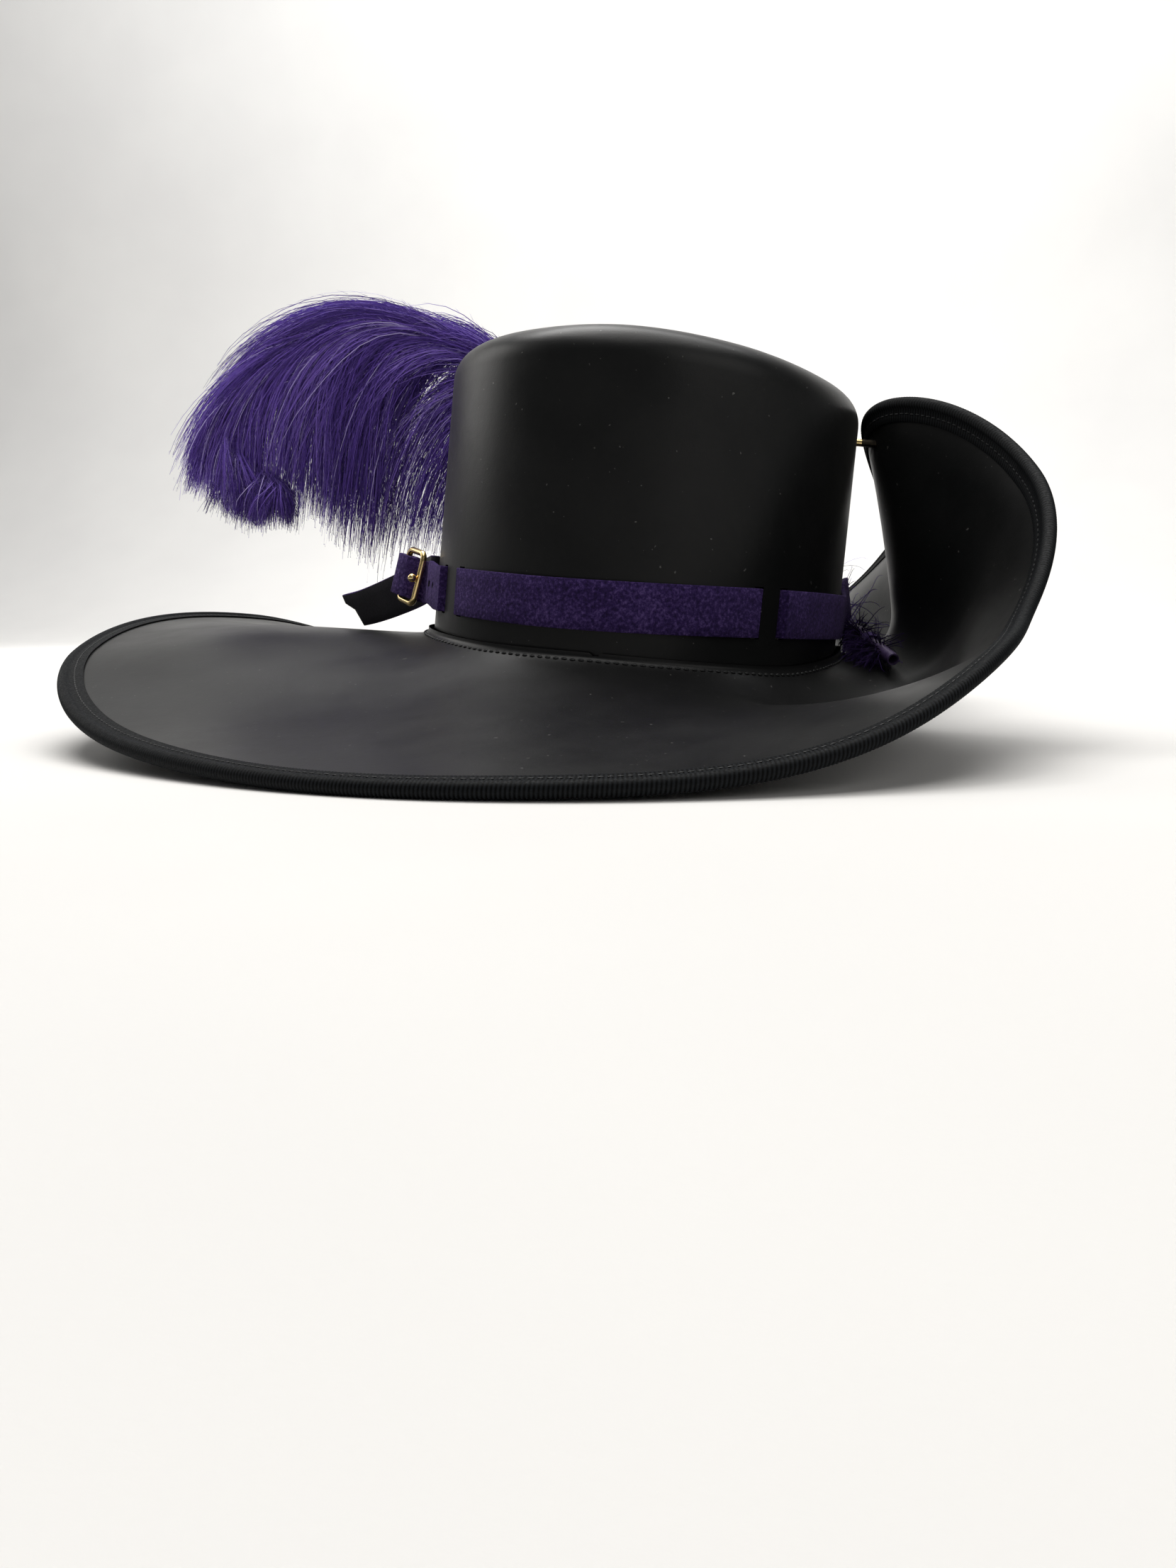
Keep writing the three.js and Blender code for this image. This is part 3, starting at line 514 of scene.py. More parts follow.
def sew(name, line, pitch, thick, finish, slot):
    """A row of stitches on a closed line of (point, outward direction)."""
    lengths = distances([p for p, _ in [*line, line[0]]])
    count = round(lengths[-1] / pitch)
    bm = bmesh.new()
    one = bmesh.ops.create_uvsphere(bm, u_segments=6, v_segments=4, radius=0.5)["verts"]
    bmesh.ops.scale(bm, verts=one, vec=(thick, thick * 0.8, pitch * 0.72))
    stitch = bpy.data.meshes.new("stitch")
    bm.to_mesh(stitch)
    bm.free()
    bm = bmesh.new()
    for k in range(count):
        x = (k + 0.5) / count * lengths[-1]
        i = int(np.searchsorted(lengths, x)) - 1
        share = (x - lengths[i]) / (lengths[i + 1] - lengths[i])
        a, b = line[i], line[(i + 1) % len(line)]
        along = (b[0] - a[0]).normalized()
        out = a[1].lerp(b[1], share).normalized()
        side = out.cross(along).normalized()
        basis = Matrix((side, along.cross(side), along)).transposed().to_4x4()
        spot = Matrix.Translation(a[0].lerp(b[0], share) + side * random.uniform(-0.08, 0.08)) @ basis
        bm.from_mesh(stitch)
        bm.verts.ensure_lookup_table()
        bmesh.ops.transform(bm, matrix=spot, verts=bm.verts[-len(stitch.vertices) :])
    bpy.data.meshes.remove(stitch)
    return piece(name, bm, slot, finish, closed=False)


def on_top(section, p, lift):
    """A point above the section's upper face, and the way out of that face."""
    face = section.under(p, -lift)
    return face, (face - section.under(p, 1)).normalized()


seam = [on_top(section, section.collar[5], 0.18) for section in sections]
sew("collar_stitches", seam, STITCH, STITCH_THICK, thread, "leather")

# -------- edge binding
# Black grosgrain ribbon folded over the brim's edge round a soft cord, so that the edge is a plump roll
# with a flat flange on each face. Its ribs run across it, and a row of stitches holds both flanges.
RIB, FLANGE = 1.25, 0.75
TAPE_STITCH, TAPE_STITCH_THICK = 2.6, 0.55
ribs_round = round(EDGE_LONG / RIB)
rib_places = np.interp(np.arange(2 * ribs_round) * EDGE_LONG / (2 * ribs_round), walked, rough_turns)


def tape_ring(k):
    """The ribbon's section at a place: the crest of a rib and the dip beside it in turn."""
    section = Section(float(rib_places[k]))
    crest = 0.07 if k % 2 else -0.07
    width = section.width
    inner = section.find(width - TAPE_WIDE)
    tuck = section.find(width - TAPE_TUCK + GAP)
    core = section.find(width - TAPE_ROLL)
    mid = section.find(width - (TAPE_WIDE + 2 * TAPE_ROLL) / 2)
    ring = [section.under(p, -GAP) for p in (inner, mid, tuck)]
    ring += [section.under(p, LEATHER + GAP) for p in (tuck, mid, inner)]
    upper, lower = -FLANGE - crest, LEATHER + FLANGE + crest
    ring += [section.under(inner, LEATHER + FLANGE - 0.15, -0.12)]
    ring += [section.under(inner, lower, 0.1), section.under(mid, lower)]
    full = TAPE_ROLL - 0.1 + crest * 1.9
    for i in range(17):
        a = math.radians(-136 + 17 * i)
        ring.append(section.under(core, LEATHER / 2 - full * math.sin(a), full * math.cos(a)))
    ring += [section.under(mid, upper), section.under(inner, upper, 0.1)]
    ring += [section.under(inner, -FLANGE + 0.15, -0.12)]
    return ring


tape_rings = [tape_ring(k) for k in range(2 * ribs_round)]
around = len(tape_rings[0])
bm = laid(2 * ribs_round, around, lambda i, j: tape_rings[i % (2 * ribs_round)][j % around])

grosgrain = material("black_grosgrain", (0.004, 0.005, 0.006), 0.6, Specular_IOR_Level=0.08)
round_rim = add(grosgrain, "SeparateXYZ", {0: add(grosgrain, "TexCoord").outputs["UV"]}).outputs[0]
phase = add(grosgrain, "Math", {0: round_rim, 1: ribs_round * 2 * math.pi}, operation="MULTIPLY").outputs[0]
crests = add(grosgrain, "Math", {0: phase}, operation="COSINE").outputs[0]
# the colour is painted darker in the ribs' dips and lighter on their crests: painted shade and painted
# highlight on the ribs
rib_painted_light = spread(grosgrain, crests, 0.0, 1.0, 1.0, -1.0)
lint = speckle(grosgrain, 1400.0, 2.0)
wear(
    grosgrain,
    Base_Color=shades(grosgrain, rib_painted_light, (0.1, (0.0004, 0.0005, 0.0006)), (0.9, (0.0095, 0.0108, 0.0125))),
    Roughness=spread(grosgrain, lint, 0.5, 0.72),
    Normal=raised(grosgrain, lint, 0.3, 0.0002),
)
piece("edge_tape", bm, "tape", grosgrain, stands_for=["edge_binding"], sharp=60)
flanges = (("flange_stitches", -FLANGE - 0.08, 1), ("flange_stitches_below", LEATHER + FLANGE + 0.08, -1))
for name, deep, side in flanges:
    line = []
    for section in sections:
        p = section.find(section.width - 2 * TAPE_ROLL - 1.3)
        face = section.under(p, deep)
        line.append((face, (section.under(p, -1) - section.under(p, 0)) * side))
    sew(name, line, TAPE_STITCH, TAPE_STITCH_THICK, thread, "tape")

# -------- hat band
# One strap of thick suede, purple on the napped side and black on the flesh side. It is woven through the
# four slots; one end is folded round the buckle's rear bar and the other turns back and hangs free.
BAND_TALL, BAND_NARROW, BAND_THICK = 17.5, 17, 1.8
BAND_OUTSIDE, BAND_INSIDE = 1.2, -3.65  # the strap's middle, from the oval of the crown's foot
BAND_FIRST, BAND_LAST = BAND_RUN[0][0], BAND_RUN[-1][0]
WIRE = 1.3
BUCKLE_TALL, BUCKLE_LONG, BUCKLE_CORNER = 21.4, 15.6, 3.0
BUCKLE_DROP, FOLD_END = -0.5, -5.4  # how low the strap lies in the buckle, and where its fold ends
BUCKLE_ENDS = [(7.7, -3.7), (3.2, -0.1), (0, 2.3), (-4, 3.4)]
LEAVES = [(-83.4, -33.1, 22.3, 4), (-78.8, -42.7, 21.4, 0)]
FREE_END = [  # point, width, lean
    (-87.6, -19.8, 23.9, 17.5, 3), (-92.7, -14.3, 21.2, 17.5, 8), (-100.2, -8.4, 17.8, 17.3, 14),
    (-109.5, -2.2, 13.9, 17, 19), (-119, 5, 10.4, 16.6, 22), (-126.5, 10.8, 8, 16.2, 24),
    (-132, 15.2, 6.6, 16, 24),
]
TAIL_TOP, TAIL_LOW = 6, -1.5  # the free end is cut off on a slant
upright = Vector((4.2, 0, 22.9)).normalized()
buckle_x = Vector((10.25, -12, -2)).normalized()
buckle_z = buckle_x.cross(upright).normalized()
buckle_y = buckle_z.cross(buckle_x)
BUCKLE = Matrix.Translation((-95.1, -21, 23.9)) @ Matrix((buckle_x, buckle_y, buckle_z)).transposed().to_4x4()


def by_buckle(x, y, z):
    """A point given from the buckle's middle: along the strap, across it and out of the buckle."""
    return BUCKLE @ Vector((x, y, z))


def eased(points, count):
    """A smooth line through points, with `count` places to each stretch."""
    pts = [Vector(p) for p in points]
    pts = [pts[0] * 2 - pts[1], *pts, pts[-1] * 2 - pts[-2]]
    line = []
    for a, b, c, d in zip(pts, pts[1:], pts[2:], pts[3:]):
        k0, k1, k2 = (b - a).length ** 0.5, (c - b).length ** 0.5, (d - c).length ** 0.5
        m0 = ((b - a) / k0 - (c - a) / (k0 + k1) + (c - b) / k1) * k1
        m1 = ((c - b) / k1 - (d - b) / (k1 + k2) + (d - c) / k2) * k1
        line += [between(b, m0, c, m1, k / count) for k in range(count)]
    return line + [pts[-2]]


# each station: middle, lean in degrees or the direction of its width, and its width
EYE_THICK = 0.6  # the wire of the prong's eye, which the fold clears
loop = WIRE + 2 * GAP + EYE_THICK + BAND_THICK / 2
rear = -BUCKLE_LONG / 2
stations = [(by_buckle(FOLD_END, BUCKLE_DROP, -loop), upright, BAND_NARROW)]
for k in range(13):
    a = math.radians(-90 - 15 * k)
    fold = by_buckle(rear + loop * math.cos(a), BUCKLE_DROP, loop * math.sin(a))
    stations.append((fold, upright, BAND_NARROW))
passing = [by_buckle(x, BUCKLE_DROP, z) for x, z in reversed(BUCKLE_ENDS)] + [Vector(p[:3]) for p in LEAVES]
passing += [round_crown(phi, BAND_OUTSIDE, band_height(phi)) for phi in (BAND_FIRST, BAND_FIRST + 2)]
passing = eased(passing, 5)[:-6]
for k, p in enumerate(passing):
    settled = min(k / (len(passing) - 6), 1)
    tall = BAND_NARROW + (BAND_TALL - BAND_NARROW) * settled
    stations.append((p, upright.lerp(Vector((0, 0, 1)), settled), tall))
dive = 0.6  # the strap passes a slot within this many degrees of it
turns = [BAND_FIRST, BAND_LAST]
for a, b in (SLOTS[:2], SLOTS[2:]):
    turns += [a - dive, a + dive, (a + b) / 2, b - dive, b + dive]
turns += [-60, -58.5, -57] + [-42 + k for k in range(80)] + [49 + k * 1.4 for k in range(167)]
for phi in sorted(turns):
    inside = SLOTS[0] < phi < SLOTS[1] or SLOTS[2] < phi < SLOTS[3]
    out = BAND_INSIDE if inside else column(BAND_RUN, 1, phi, closed=False)
    middle = round_crown(phi, out, band_height(phi))
    stations.append((middle, column(BAND_RUN, 3, phi, closed=False), BAND_TALL))
bend = (BAND_THICK + GAP) / 2
outward = round_crown(BAND_LAST, 1, 0) - round_crown(BAND_LAST, 0, 0)
onward = (round_crown(BAND_LAST + 1, 0, 0) - round_crown(BAND_LAST, 0, 0)).normalized()
hub = stations[-1][0] + outward * bend
for k in range(1, 9):
    a = math.radians(22.5 * k)
    stations.append((hub - outward * bend * math.cos(a) + onward * bend * math.sin(a), 0, BAND_TALL))
for k, p in enumerate(eased([p[:3] for p in FREE_END], 4)):
    i = min(k // 4, len(FREE_END) - 2)
    share = k / 4 - i
    a, b = FREE_END[i], FREE_END[i + 1]
    stations.append((p, a[4] + (b[4] - a[4]) * share, a[3] + (b[3] - a[3]) * share))


def strap_ring(i):
    """The strap's section at a station: rounded corners, first the napped face, then the flesh face."""
    mid, lean, tall = stations[i]
    a = mid - stations[max(i - 1, 0)][0]
    b = stations[min(i + 1, len(stations) - 1)][0] - mid
    bent = a.angle(b) if a.length and b.length else 0
    way = (a.normalized() + b.normalized()).normalized()
    if isinstance(lean, Vector):
        width = lean.copy()
    else:
        width = Matrix.Rotation(-math.radians(lean), 3, way) @ Vector((0, 0, 1))
    width = (width - way * width.dot(way)).normalized()
    out = way.cross(width)
    t = BAND_THICK / 2 / math.cos(min(bent, 1.6) / 2)
    h = tall / 2
    c = 0.35
    face = [h - c, h * 0.5, 0, -h * 0.5, -h + c]
    corners = [(w, t) for w in face]
    corners += [(-h + 0.1, t - 0.12), (-h, t - c), (-h, -t + c), (-h + 0.1, -t + 0.12)]
    corners += [(w, -t) for w in reversed(face)]
    corners += [(h - 0.1, -t + 0.12), (h, -t + c), (h, t - c), (h - 0.1, t - 0.12)]
    slant = (TAIL_TOP, TAIL_LOW) if i == len(stations) - 1 else (0, 0)
    return [mid + width * w + out * o + way * slant[0 if w > 0 else 1] for w, o in corners]


def capped(rings, first, last):
    """A skin over rings of points, drawn to a point at both ends."""
    sides = len(rings[0])
    rings = [[first] * sides, *rings, [last] * sides]
    return laid(sides, len(rings) - 1, lambda i, j: rings[j][i % sides])


strap_rings = [strap_ring(i) for i in range(len(stations))]
sides = len(strap_rings[0])
bm = capped(strap_rings, *(sum(ring, Vector()) / sides for ring in (strap_rings[0], strap_rings[-1])))
uv = bm.loops.layers.uv.active
for face in bm.faces:  # the flesh face lies between corners 9 and 13 of the section
    middle = sum(loop[uv].uv.x for loop in face.loops) / len(face.loops)
    face.material_index = 1 if 8.9 / sides < middle < 13.1 / sides else 0

suede = material(
    "purple_suede", (0.02, 0.01, 0.05), 0.92,
    Specular_IOR_Level=0.2, Sheen_Weight=0.14, Sheen_Roughness=0.4, Sheen_Tint=(0.55, 0.42, 0.85, 1),
)
nap = speckle(suede, 800.0, 5.0, 0.7)
brushed = add(suede, "Math", {0: speckle(suede, 45.0, 3.0), 1: 0.25}, operation="MULTIPLY").outputs[0]
fibres = speckle(suede, 2600.0, 3.0)
mixed = add(suede, "Math", {0: nap, 1: brushed}, operation="ADD").outputs[0]
wear(
    suede,
    Base_Color=shades(
        suede, spread(suede, mixed, 0.0, 1.0, 0.46, 0.80),
        (0.0, (0.014, 0.0060, 0.042)), (0.5, (0.038, 0.018, 0.105)), (1.0, (0.120, 0.072, 0.245)),
    ),
    Normal=raised(suede, fibres, 0.5, 0.0003, raised(suede, nap, 0.8, 0.0008)),
)
flesh = material("black_flesh_side", (0.01, 0.008, 0.014), 0.9, Sheen_Weight=0.1)
nap = speckle(flesh, 1100.0, 5.0, 0.7)
wear(
    flesh,
    Base_Color=shades(flesh, nap, (0.3, (0.005, 0.004, 0.008)), (0.7, (0.016, 0.013, 0.024))),
    Normal=raised(flesh, nap, 0.5, 0.0004),
)


# the prong's hole, and two spare holes in front of the buckle
PRONG_HOLE = 1.3
pierce(bm, by_buckle(3.4, -0.1, 0.3), buckle_z, PRONG_HOLE)
for phi, height in ((-70, 21.7), (-64, 21.2)):
    foot = round_crown(phi, 0, height)
    pierce(bm, round_crown(phi, 3.5, height), round_crown(phi, 1, height) - foot, PRONG_HOLE)
piece("suede_band", bm, "suede", suede, flesh, stands_for=["hat_band"], sharp=50)

# -------- buckle
# A rounded rectangle of polished brass wire, brazed at the rear bar. The strap passes under its front bar
# and over its rear bar.


def beside(middle, way, up, turn, radius):
    """The point beside a middle, square to a way, at an angle that turns towards `up`."""
    way = way.normalized()
    rise = (up - way * up.dot(way)).normalized()
    return middle + (way.cross(rise) * math.cos(turn) + rise * math.sin(turn)) * radius


def hoop(middle, way, up, radius, sides):
    return [beside(middle, way, up, 2 * math.pi * i / sides, radius) for i in range(sides)]


def tube(line, radius, sides, up, ring=False):
    """A round bar along a line, closed on itself or drawn to a point at both ends."""
    n = len(line)
    rings = []
    for k, p in enumerate(line):
        before, after = line[max(k - 1, 0)], line[min(k + 1, n - 1)]
        if ring:
            before, after = line[k - 1], line[(k + 1) % n]
        rings.append(hoop(p, after - before, up, radius, sides))
    if ring:
        return laid(sides, n, lambda i, j: rings[j % n][i % sides])
    return capped(rings, line[0], line[-1])


brass = material("polished_brass", (0.78, 0.56, 0.25), 0.22, Metallic=1.0)
tarnish = speckle(brass, 240.0, 4.0)
wear(
    brass,
    Base_Color=shades(brass, tarnish, (0.3, (0.80, 0.58, 0.25)), (0.7, (0.92, 0.72, 0.36))),
    Roughness=spread(brass, tarnish, 0.2, 0.28),
    Normal=raised(brass, speckle(brass, 1500.0, 2.0), 0.03, 0.0001),
)
outline = []
for sx, sy, first in ((1, 1, 0), (-1, 1, 90), (-1, -1, 180), (1, -1, 270)):
    for k in range(9):
        a = math.radians(first + 90 * k / 8)
        x = sx * (BUCKLE_LONG / 2 - BUCKLE_CORNER) + BUCKLE_CORNER * math.cos(a)
        y = sy * (BUCKLE_TALL / 2 - BUCKLE_CORNER) + BUCKLE_CORNER * math.sin(a)
        outline.append(by_buckle(x, y, 0))
bm = tube(outline, WIRE, 20, buckle_z, ring=True)
piece("brass_frame", bm, "brass", brass, stands_for=["buckle_frame"], sharp=80)

# -------- prong
# A straight brass wire with an eye bent round the rear bar and a small ball on its tip, which rests on
# the front bar after passing through the strap's hole.
PRONG = [(-6.0, 0, 0), (0.2, 0, 0.1), (3.0, 0, 0.5), (6.6, 0, 2.6), (8.4, 0, 3.4)]
PRONG_THICK, EYE_WIDE, BALL = 0.9, 1.6, 1.8  # half of each
bm = tube(eased([by_buckle(*p) for p in PRONG], 5), PRONG_THICK, 14, buckle_y)
straight = bpy.data.meshes.new("prong_straight")
bm.to_mesh(straight)
bm.free()
eye_in, eye_out = WIRE + GAP, WIRE + GAP + EYE_THICK
corners = [(eye_in, -EYE_WIDE), (eye_out, -EYE_WIDE), (eye_out, EYE_WIDE), (eye_in, EYE_WIDE)]


def eye_point(i, j):
    far, y = corners[j % 4]
    a = i * math.pi / 12
    return by_buckle(rear + far * math.cos(a), y, far * math.sin(a))


bm = laid(24, 4, eye_point)
bm.from_mesh(straight)
bpy.data.meshes.remove(straight)
ball = bmesh.ops.create_uvsphere(bm, u_segments=20, v_segments=12, radius=BALL)["verts"]
bmesh.ops.translate(bm, verts=ball, vec=by_buckle(*PRONG[-1]))
piece("brass_prong", bm, "brass", brass, stands_for=["buckle_prong"])

# -------- brim stud
# A brass stud that pins the brim to the crown: a flat cap inside the crown, a post through both leathers
# and a domed head outside.
POST, SLEEVE_END, DOME = 1.5, 1.2, 2.2
to_hat = RESTING.inverted()
cad_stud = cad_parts["brim_pin"].data.vertices
stud_reach = [(to_hat @ Vector(v.co) - stud_foot).dot(stud_way) for v in cad_stud]
cap_end, head = min(stud_reach), max(stud_reach) - DOME
profile = [  # distance from the post's axis, distance along it
    (0, cap_end), (3.1, cap_end), (3.4, cap_end + 0.15), (3.5, cap_end + 0.4), (3.5, cap_end + 1.3),
    (3.4, cap_end + 1.4), (POST, cap_end + 1.4), (POST, SLEEVE_END), (POST, head), (3.65, head),
    (3.8, head + 0.15), (3.75, head + 0.5), (3.5, head + 0.95), (2.9, head + 1.45), (2.1, head + 1.85),
    (1.1, head + 2.12), (0, head + DOME),
]
bm = bmesh.new()
ring = [bm.verts.new(stud_foot + stud_way * x + Vector((0, 0, r))) for r, x in profile]
line = [bm.edges.new(pair) for pair in zip(ring, ring[1:])]
bmesh.ops.spin(
    bm, geom=ring + line, cent=stud_foot, axis=stud_way, angle=2 * math.pi, steps=36, use_merge=True
)
bmesh.ops.remove_doubles(bm, verts=bm.verts, dist=1e-4)
blackened = material("blackened_brass", (0.02, 0.018, 0.015), 0.4, Metallic=1.0)
patina = speckle(blackened, 600.0, 3.0)
wear(
    blackened,
    Base_Color=shades(blackened, patina, (0.3, (0.010, 0.009, 0.008)), (0.7, (0.05, 0.042, 0.03))),
    Roughness=spread(blackened, patina, 0.35, 0.6),
)
for face in bm.faces:
    far = (face.calc_center_median() - stud_foot).dot(stud_way)
    face.material_index = 1 if SLEEVE_END < far < head else 0
piece("brass_stud", bm, "brass", brass, blackened, stands_for=["brim_pin"])

# -------- quill and shaft
# The plume's shaft: a bare horny quill, cut off hollow, tucked behind the band beside the pinned-up brim.
# It rises round the back of the crown and thins into the shaft that the barbs grow from.
QUILL_OUT = [(105.4, -41, 8.7), (100.6, -26, 12), (96.2, -12, 15)]
QUILL_RUN = [  # round the crown: angle, distance outside it, height
    (88, 9.6, 17.2), (96, 8.8, 17.6), (102, 6.4, 17.9), (108, 3.4, 19.3), (114, 3.4, 23.5),
    (122, 3.4, 30), (130, 3.6, 38), (142, 5, 49), (154, 6.6, 60), (164.2, 7.9, 69),
]
SHAFT = [  # the shaft beyond the quill, with the tips of the barbs on its upper and its lower side
    ((8, 110, 80), (-20, 112, 106), (10, 112, 56)),
    ((-26, 107, 94), (-70, 101, 126), (-50, 107, 50)),
    ((-60, 92, 107), (-126, 90, 147), (-102, 92, 34)),
    ((-86, 88, 121), (-172, 86, 151), (-141, 88, 25)),
    ((-112, 86, 134), (-212, 84, 140), (-160, 86, 25)),
    ((-145, 84, 143), (-242, 82, 116), (-178, 84, 42)),
    ((-170, 83, 138), (-257, 80, 90), (-194, 82, 44)),
    ((-193, 82, 127), (-258, 79, 70), (-212, 80, 46)),
    ((-213, 82, 113), (-251, 79, 57), (-226, 79, 49)),
    ((-226, 82, 95), (-241, 78, 52), (-222, 78, 46)),
    ((-221, 80, 80), (-230, 78, 48), (-206, 77, 44)),
    ((-199, 76, 66), (-214, 76, 45), (-190, 76, 46)),
]
quill_points = [Vector(p) for p in QUILL_OUT] + [round_crown(*p) for p in QUILL_RUN]
quill_line = eased(quill_points, 7)
shaft_line = eased([quill_points[-1]] + [Vector(p[0]) for p in SHAFT], 7)


def thinning(line, first, last, power):
    """Radii that go from first to last along a line."""
    lengths = distances(line)
    return [float(first + (last - first) * (x / lengths[-1]) ** power) for x in lengths]


radii = thinning(quill_line, 2.5, 1.5, 1.5)
bore = [quill_line[4], quill_line[2], quill_line[0]]
whole = bore + quill_line + shaft_line[1:]
sizes = [1.6, 1.7, 1.8, 2.35, *radii[1:], *thinning(shaft_line, 1.5, 0.25, 0.9)[1:]]
rings = []
for k, p in enumerate(whole):
    way = quill_line[1] - quill_line[0]
    if k >= len(bore):
        way = whole[min(k + 1, len(whole) - 1)] - whole[max(k - 1, len(bore))]
    rings.append(hoop(p, way, Vector((0, 0, 1)), sizes[k], 12))
bm = capped(rings, whole[0], whole[-1])
horn = material("dyed_quill", (0.07, 0.05, 0.09), 0.42, Specular_IOR_Level=0.5)
streaks = speckle(horn, 420.0, 4.0)
wear(
    horn,
    Base_Color=shades(
        horn, streaks, (0.25, (0.030, 0.014, 0.060)), (0.6, (0.085, 0.055, 0.14)), (0.9, (0.22, 0.18, 0.26))
    ),
    Roughness=spread(horn, streaks, 0.34, 0.6),
    Normal=raised(horn, streaks, 0.2, 0.0002),
)
piece("quill_shaft", bm, "horn", horn, stands_for=["quill"], sharp=50)

# -------- plume
# Ostrich barbs, each a long soft strand fringed on both sides with fine barbules. They leave the shaft
# along its upper and lower sides, cling together in locks, and droop over to the left.
BARBULES, BARB_CLEAR = 24, 3.0
GROWTH = [(0.06, 0.29, 20), (0.33, 0.59, 26), (0.64, 1.0, 24)]  # locks between shares of the shaft
LOCKS = sum(locks for _, _, locks in GROWTH)


def one_barb():
    """A straight barb of unit length along X: a thin tapering ribbon with loose slim barbules."""
    bm = bmesh.new()
    bm.loops.layers.uv.new("UVMap")
    bmesh.ops.create_grid(bm, x_segments=10, y_segments=1, size=0.5)
    for v in bm.verts:
        v.co.x += 0.5
        v.co.y = math.copysign(0.3 * (1 - 0.75 * v.co.x), v.co.y)
    for k in range(BARBULES):
        s = (k + random.random()) / BARBULES
        reach = 2.2 * (0.35 + 0.65 * math.sin(math.pi * min(1, s * 1.15 + 0.08)))
        reach *= random.uniform(0.6, 1.15)
        a = random.choice((0, math.pi)) + random.gauss(0, 0.6)
        sweep = random.uniform(0.02, 0.045)
        y, z = math.cos(a) * reach, math.sin(a) * reach
        spike = Matrix(((0.003, sweep, 0, s + sweep / 2), (0, y, 0, y / 2), (0, z, 0, z / 2), (0, 0, 0, 1)))
        bmesh.ops.create_circle(bm, cap_ends=True, segments=3, radius=0.67, matrix=spike)
    made = bpy.data.meshes.new("barb")
    bm.to_mesh(made)
    bm.free()
    return made


def size(rows):
    """The length of each row."""
    return np.linalg.norm(rows, axis=-1, keepdims=True)


def grown(name, roots, leads, drops, tips, reach, tone, finish, **keys):
    """Many barbs, each bent along its own curve from root to tip. `reach` scales its barbules."""
    count = len(roots)
    barb = one_barb()
    bm = bmesh.new()
    bm.loops.layers.uv.new("UVMap")
    for _ in range(count):
        bm.from_mesh(barb)
    made = bpy.data.meshes.new(name)
    bm.to_mesh(made)
    bm.free()
    flat = np.empty(len(barb.vertices) * 3)
    barb.vertices.foreach_get("co", flat)
    flat = flat.reshape(-1, 3)
    s = np.clip(flat[:, 0], 0, 1)[None, :, None]
    p0, p1, p2, p3 = (np.asarray(p, float)[:, None, :] for p in (roots, leads, drops, tips))
    spot = p0 * (1 - s) ** 3 + 3 * p1 * s * (1 - s) ** 2 + 3 * p2 * s**2 * (1 - s) + p3 * s**3
    way = 3 * ((p1 - p0) * (1 - s) ** 2 + 2 * (p2 - p1) * s * (1 - s) + (p3 - p2) * s**2)
    way /= size(way) + 1e-9
    lean = chance.normal(0, 1, (count, 1, 3)) * 0.5 + np.array([0, 1.0, 0])
    side = np.cross(way, lean)
    side /= size(side) + 1e-9
    face = np.cross(way, side)
    wave = chance.uniform(0, 6.28, (2, count, 1, 1))
    beat = chance.uniform(3, 9, (count, 1, 1))
    loose = chance.uniform(0.3, 2.6, (count, 1, 1)) * s**1.2 * np.minimum(1, size(p3 - p0) / 60)
    spot = spot + side * np.sin(beat * s + wave[0]) * loose + face * np.sin(beat * 0.8 * s + wave[1]) * loose
    fringe = reach[:, None, None]
    spot = spot + side * flat[None, :, 1:2] * fringe + face * flat[None, :, 2:3] * fringe
    # no barb enters the crown
    inside = size(spot[:, :, :2] / (np.array(OVAL) + BARB_CLEAR))
    low = spot[:, :, 2:] < TOP_MIDDLE + 2
    spot[:, :, :2] *= np.where((inside < 1) & low, 1 / np.maximum(inside, 0.2), 1)
    made.vertices.foreach_set("co", spot.reshape(-1))
    tones = np.repeat(tone, len(barb.vertices))
    ways = np.tile(s.reshape(-1), count)
    corner = np.empty(len(made.loops), int)
    made.loops.foreach_get("vertex_index", corner)
    made.uv_layers[0].data.foreach_set("uv", np.stack([ways[corner], tones[corner]], 1).reshape(-1))
    made.update()
    bpy.data.meshes.remove(barb)
    bm = bmesh.new()
    bm.from_mesh(made)
    bpy.data.meshes.remove(made)
    return piece(name, bm, "feather", finish, closed=False, sharp=180, **keys)


feather = material(
    "dyed_ostrich", (0.035, 0.018, 0.1), 0.7,
    Specular_IOR_Level=0.4, Sheen_Weight=0.3, Sheen_Roughness=0.4, Sheen_Tint=(0.6, 0.5, 1.0, 1),
)
strand = add(feather, "SeparateXYZ", {0: add(feather, "TexCoord").outputs["UV"]})
wear(
    feather,
    Base_Color=shades(
        feather, strand.outputs[1],
        (0.0, (0.045, 0.018, 0.170)), (0.35, (0.130, 0.060, 0.430)),
        (0.75, (0.270, 0.160, 0.680)), (1.0, (0.62, 0.52, 0.92)),
    ),
    Roughness=spread(feather, strand.outputs[0], 0.5, 0.75, 0.0, 1.0),
)


def along_rows(rows, k, t):
    """The point of column k of the shaft's table at a share t of its length."""
    line = eased([row[k] for row in rows], 12)
    x = np.asarray(t) * (len(line) - 1)
    line = np.array([tuple(p) for p in line])
    i = np.minimum(x.astype(int), len(line) - 2)
    return line[i] + (line[i + 1] - line[i]) * (x - i)[:, None]


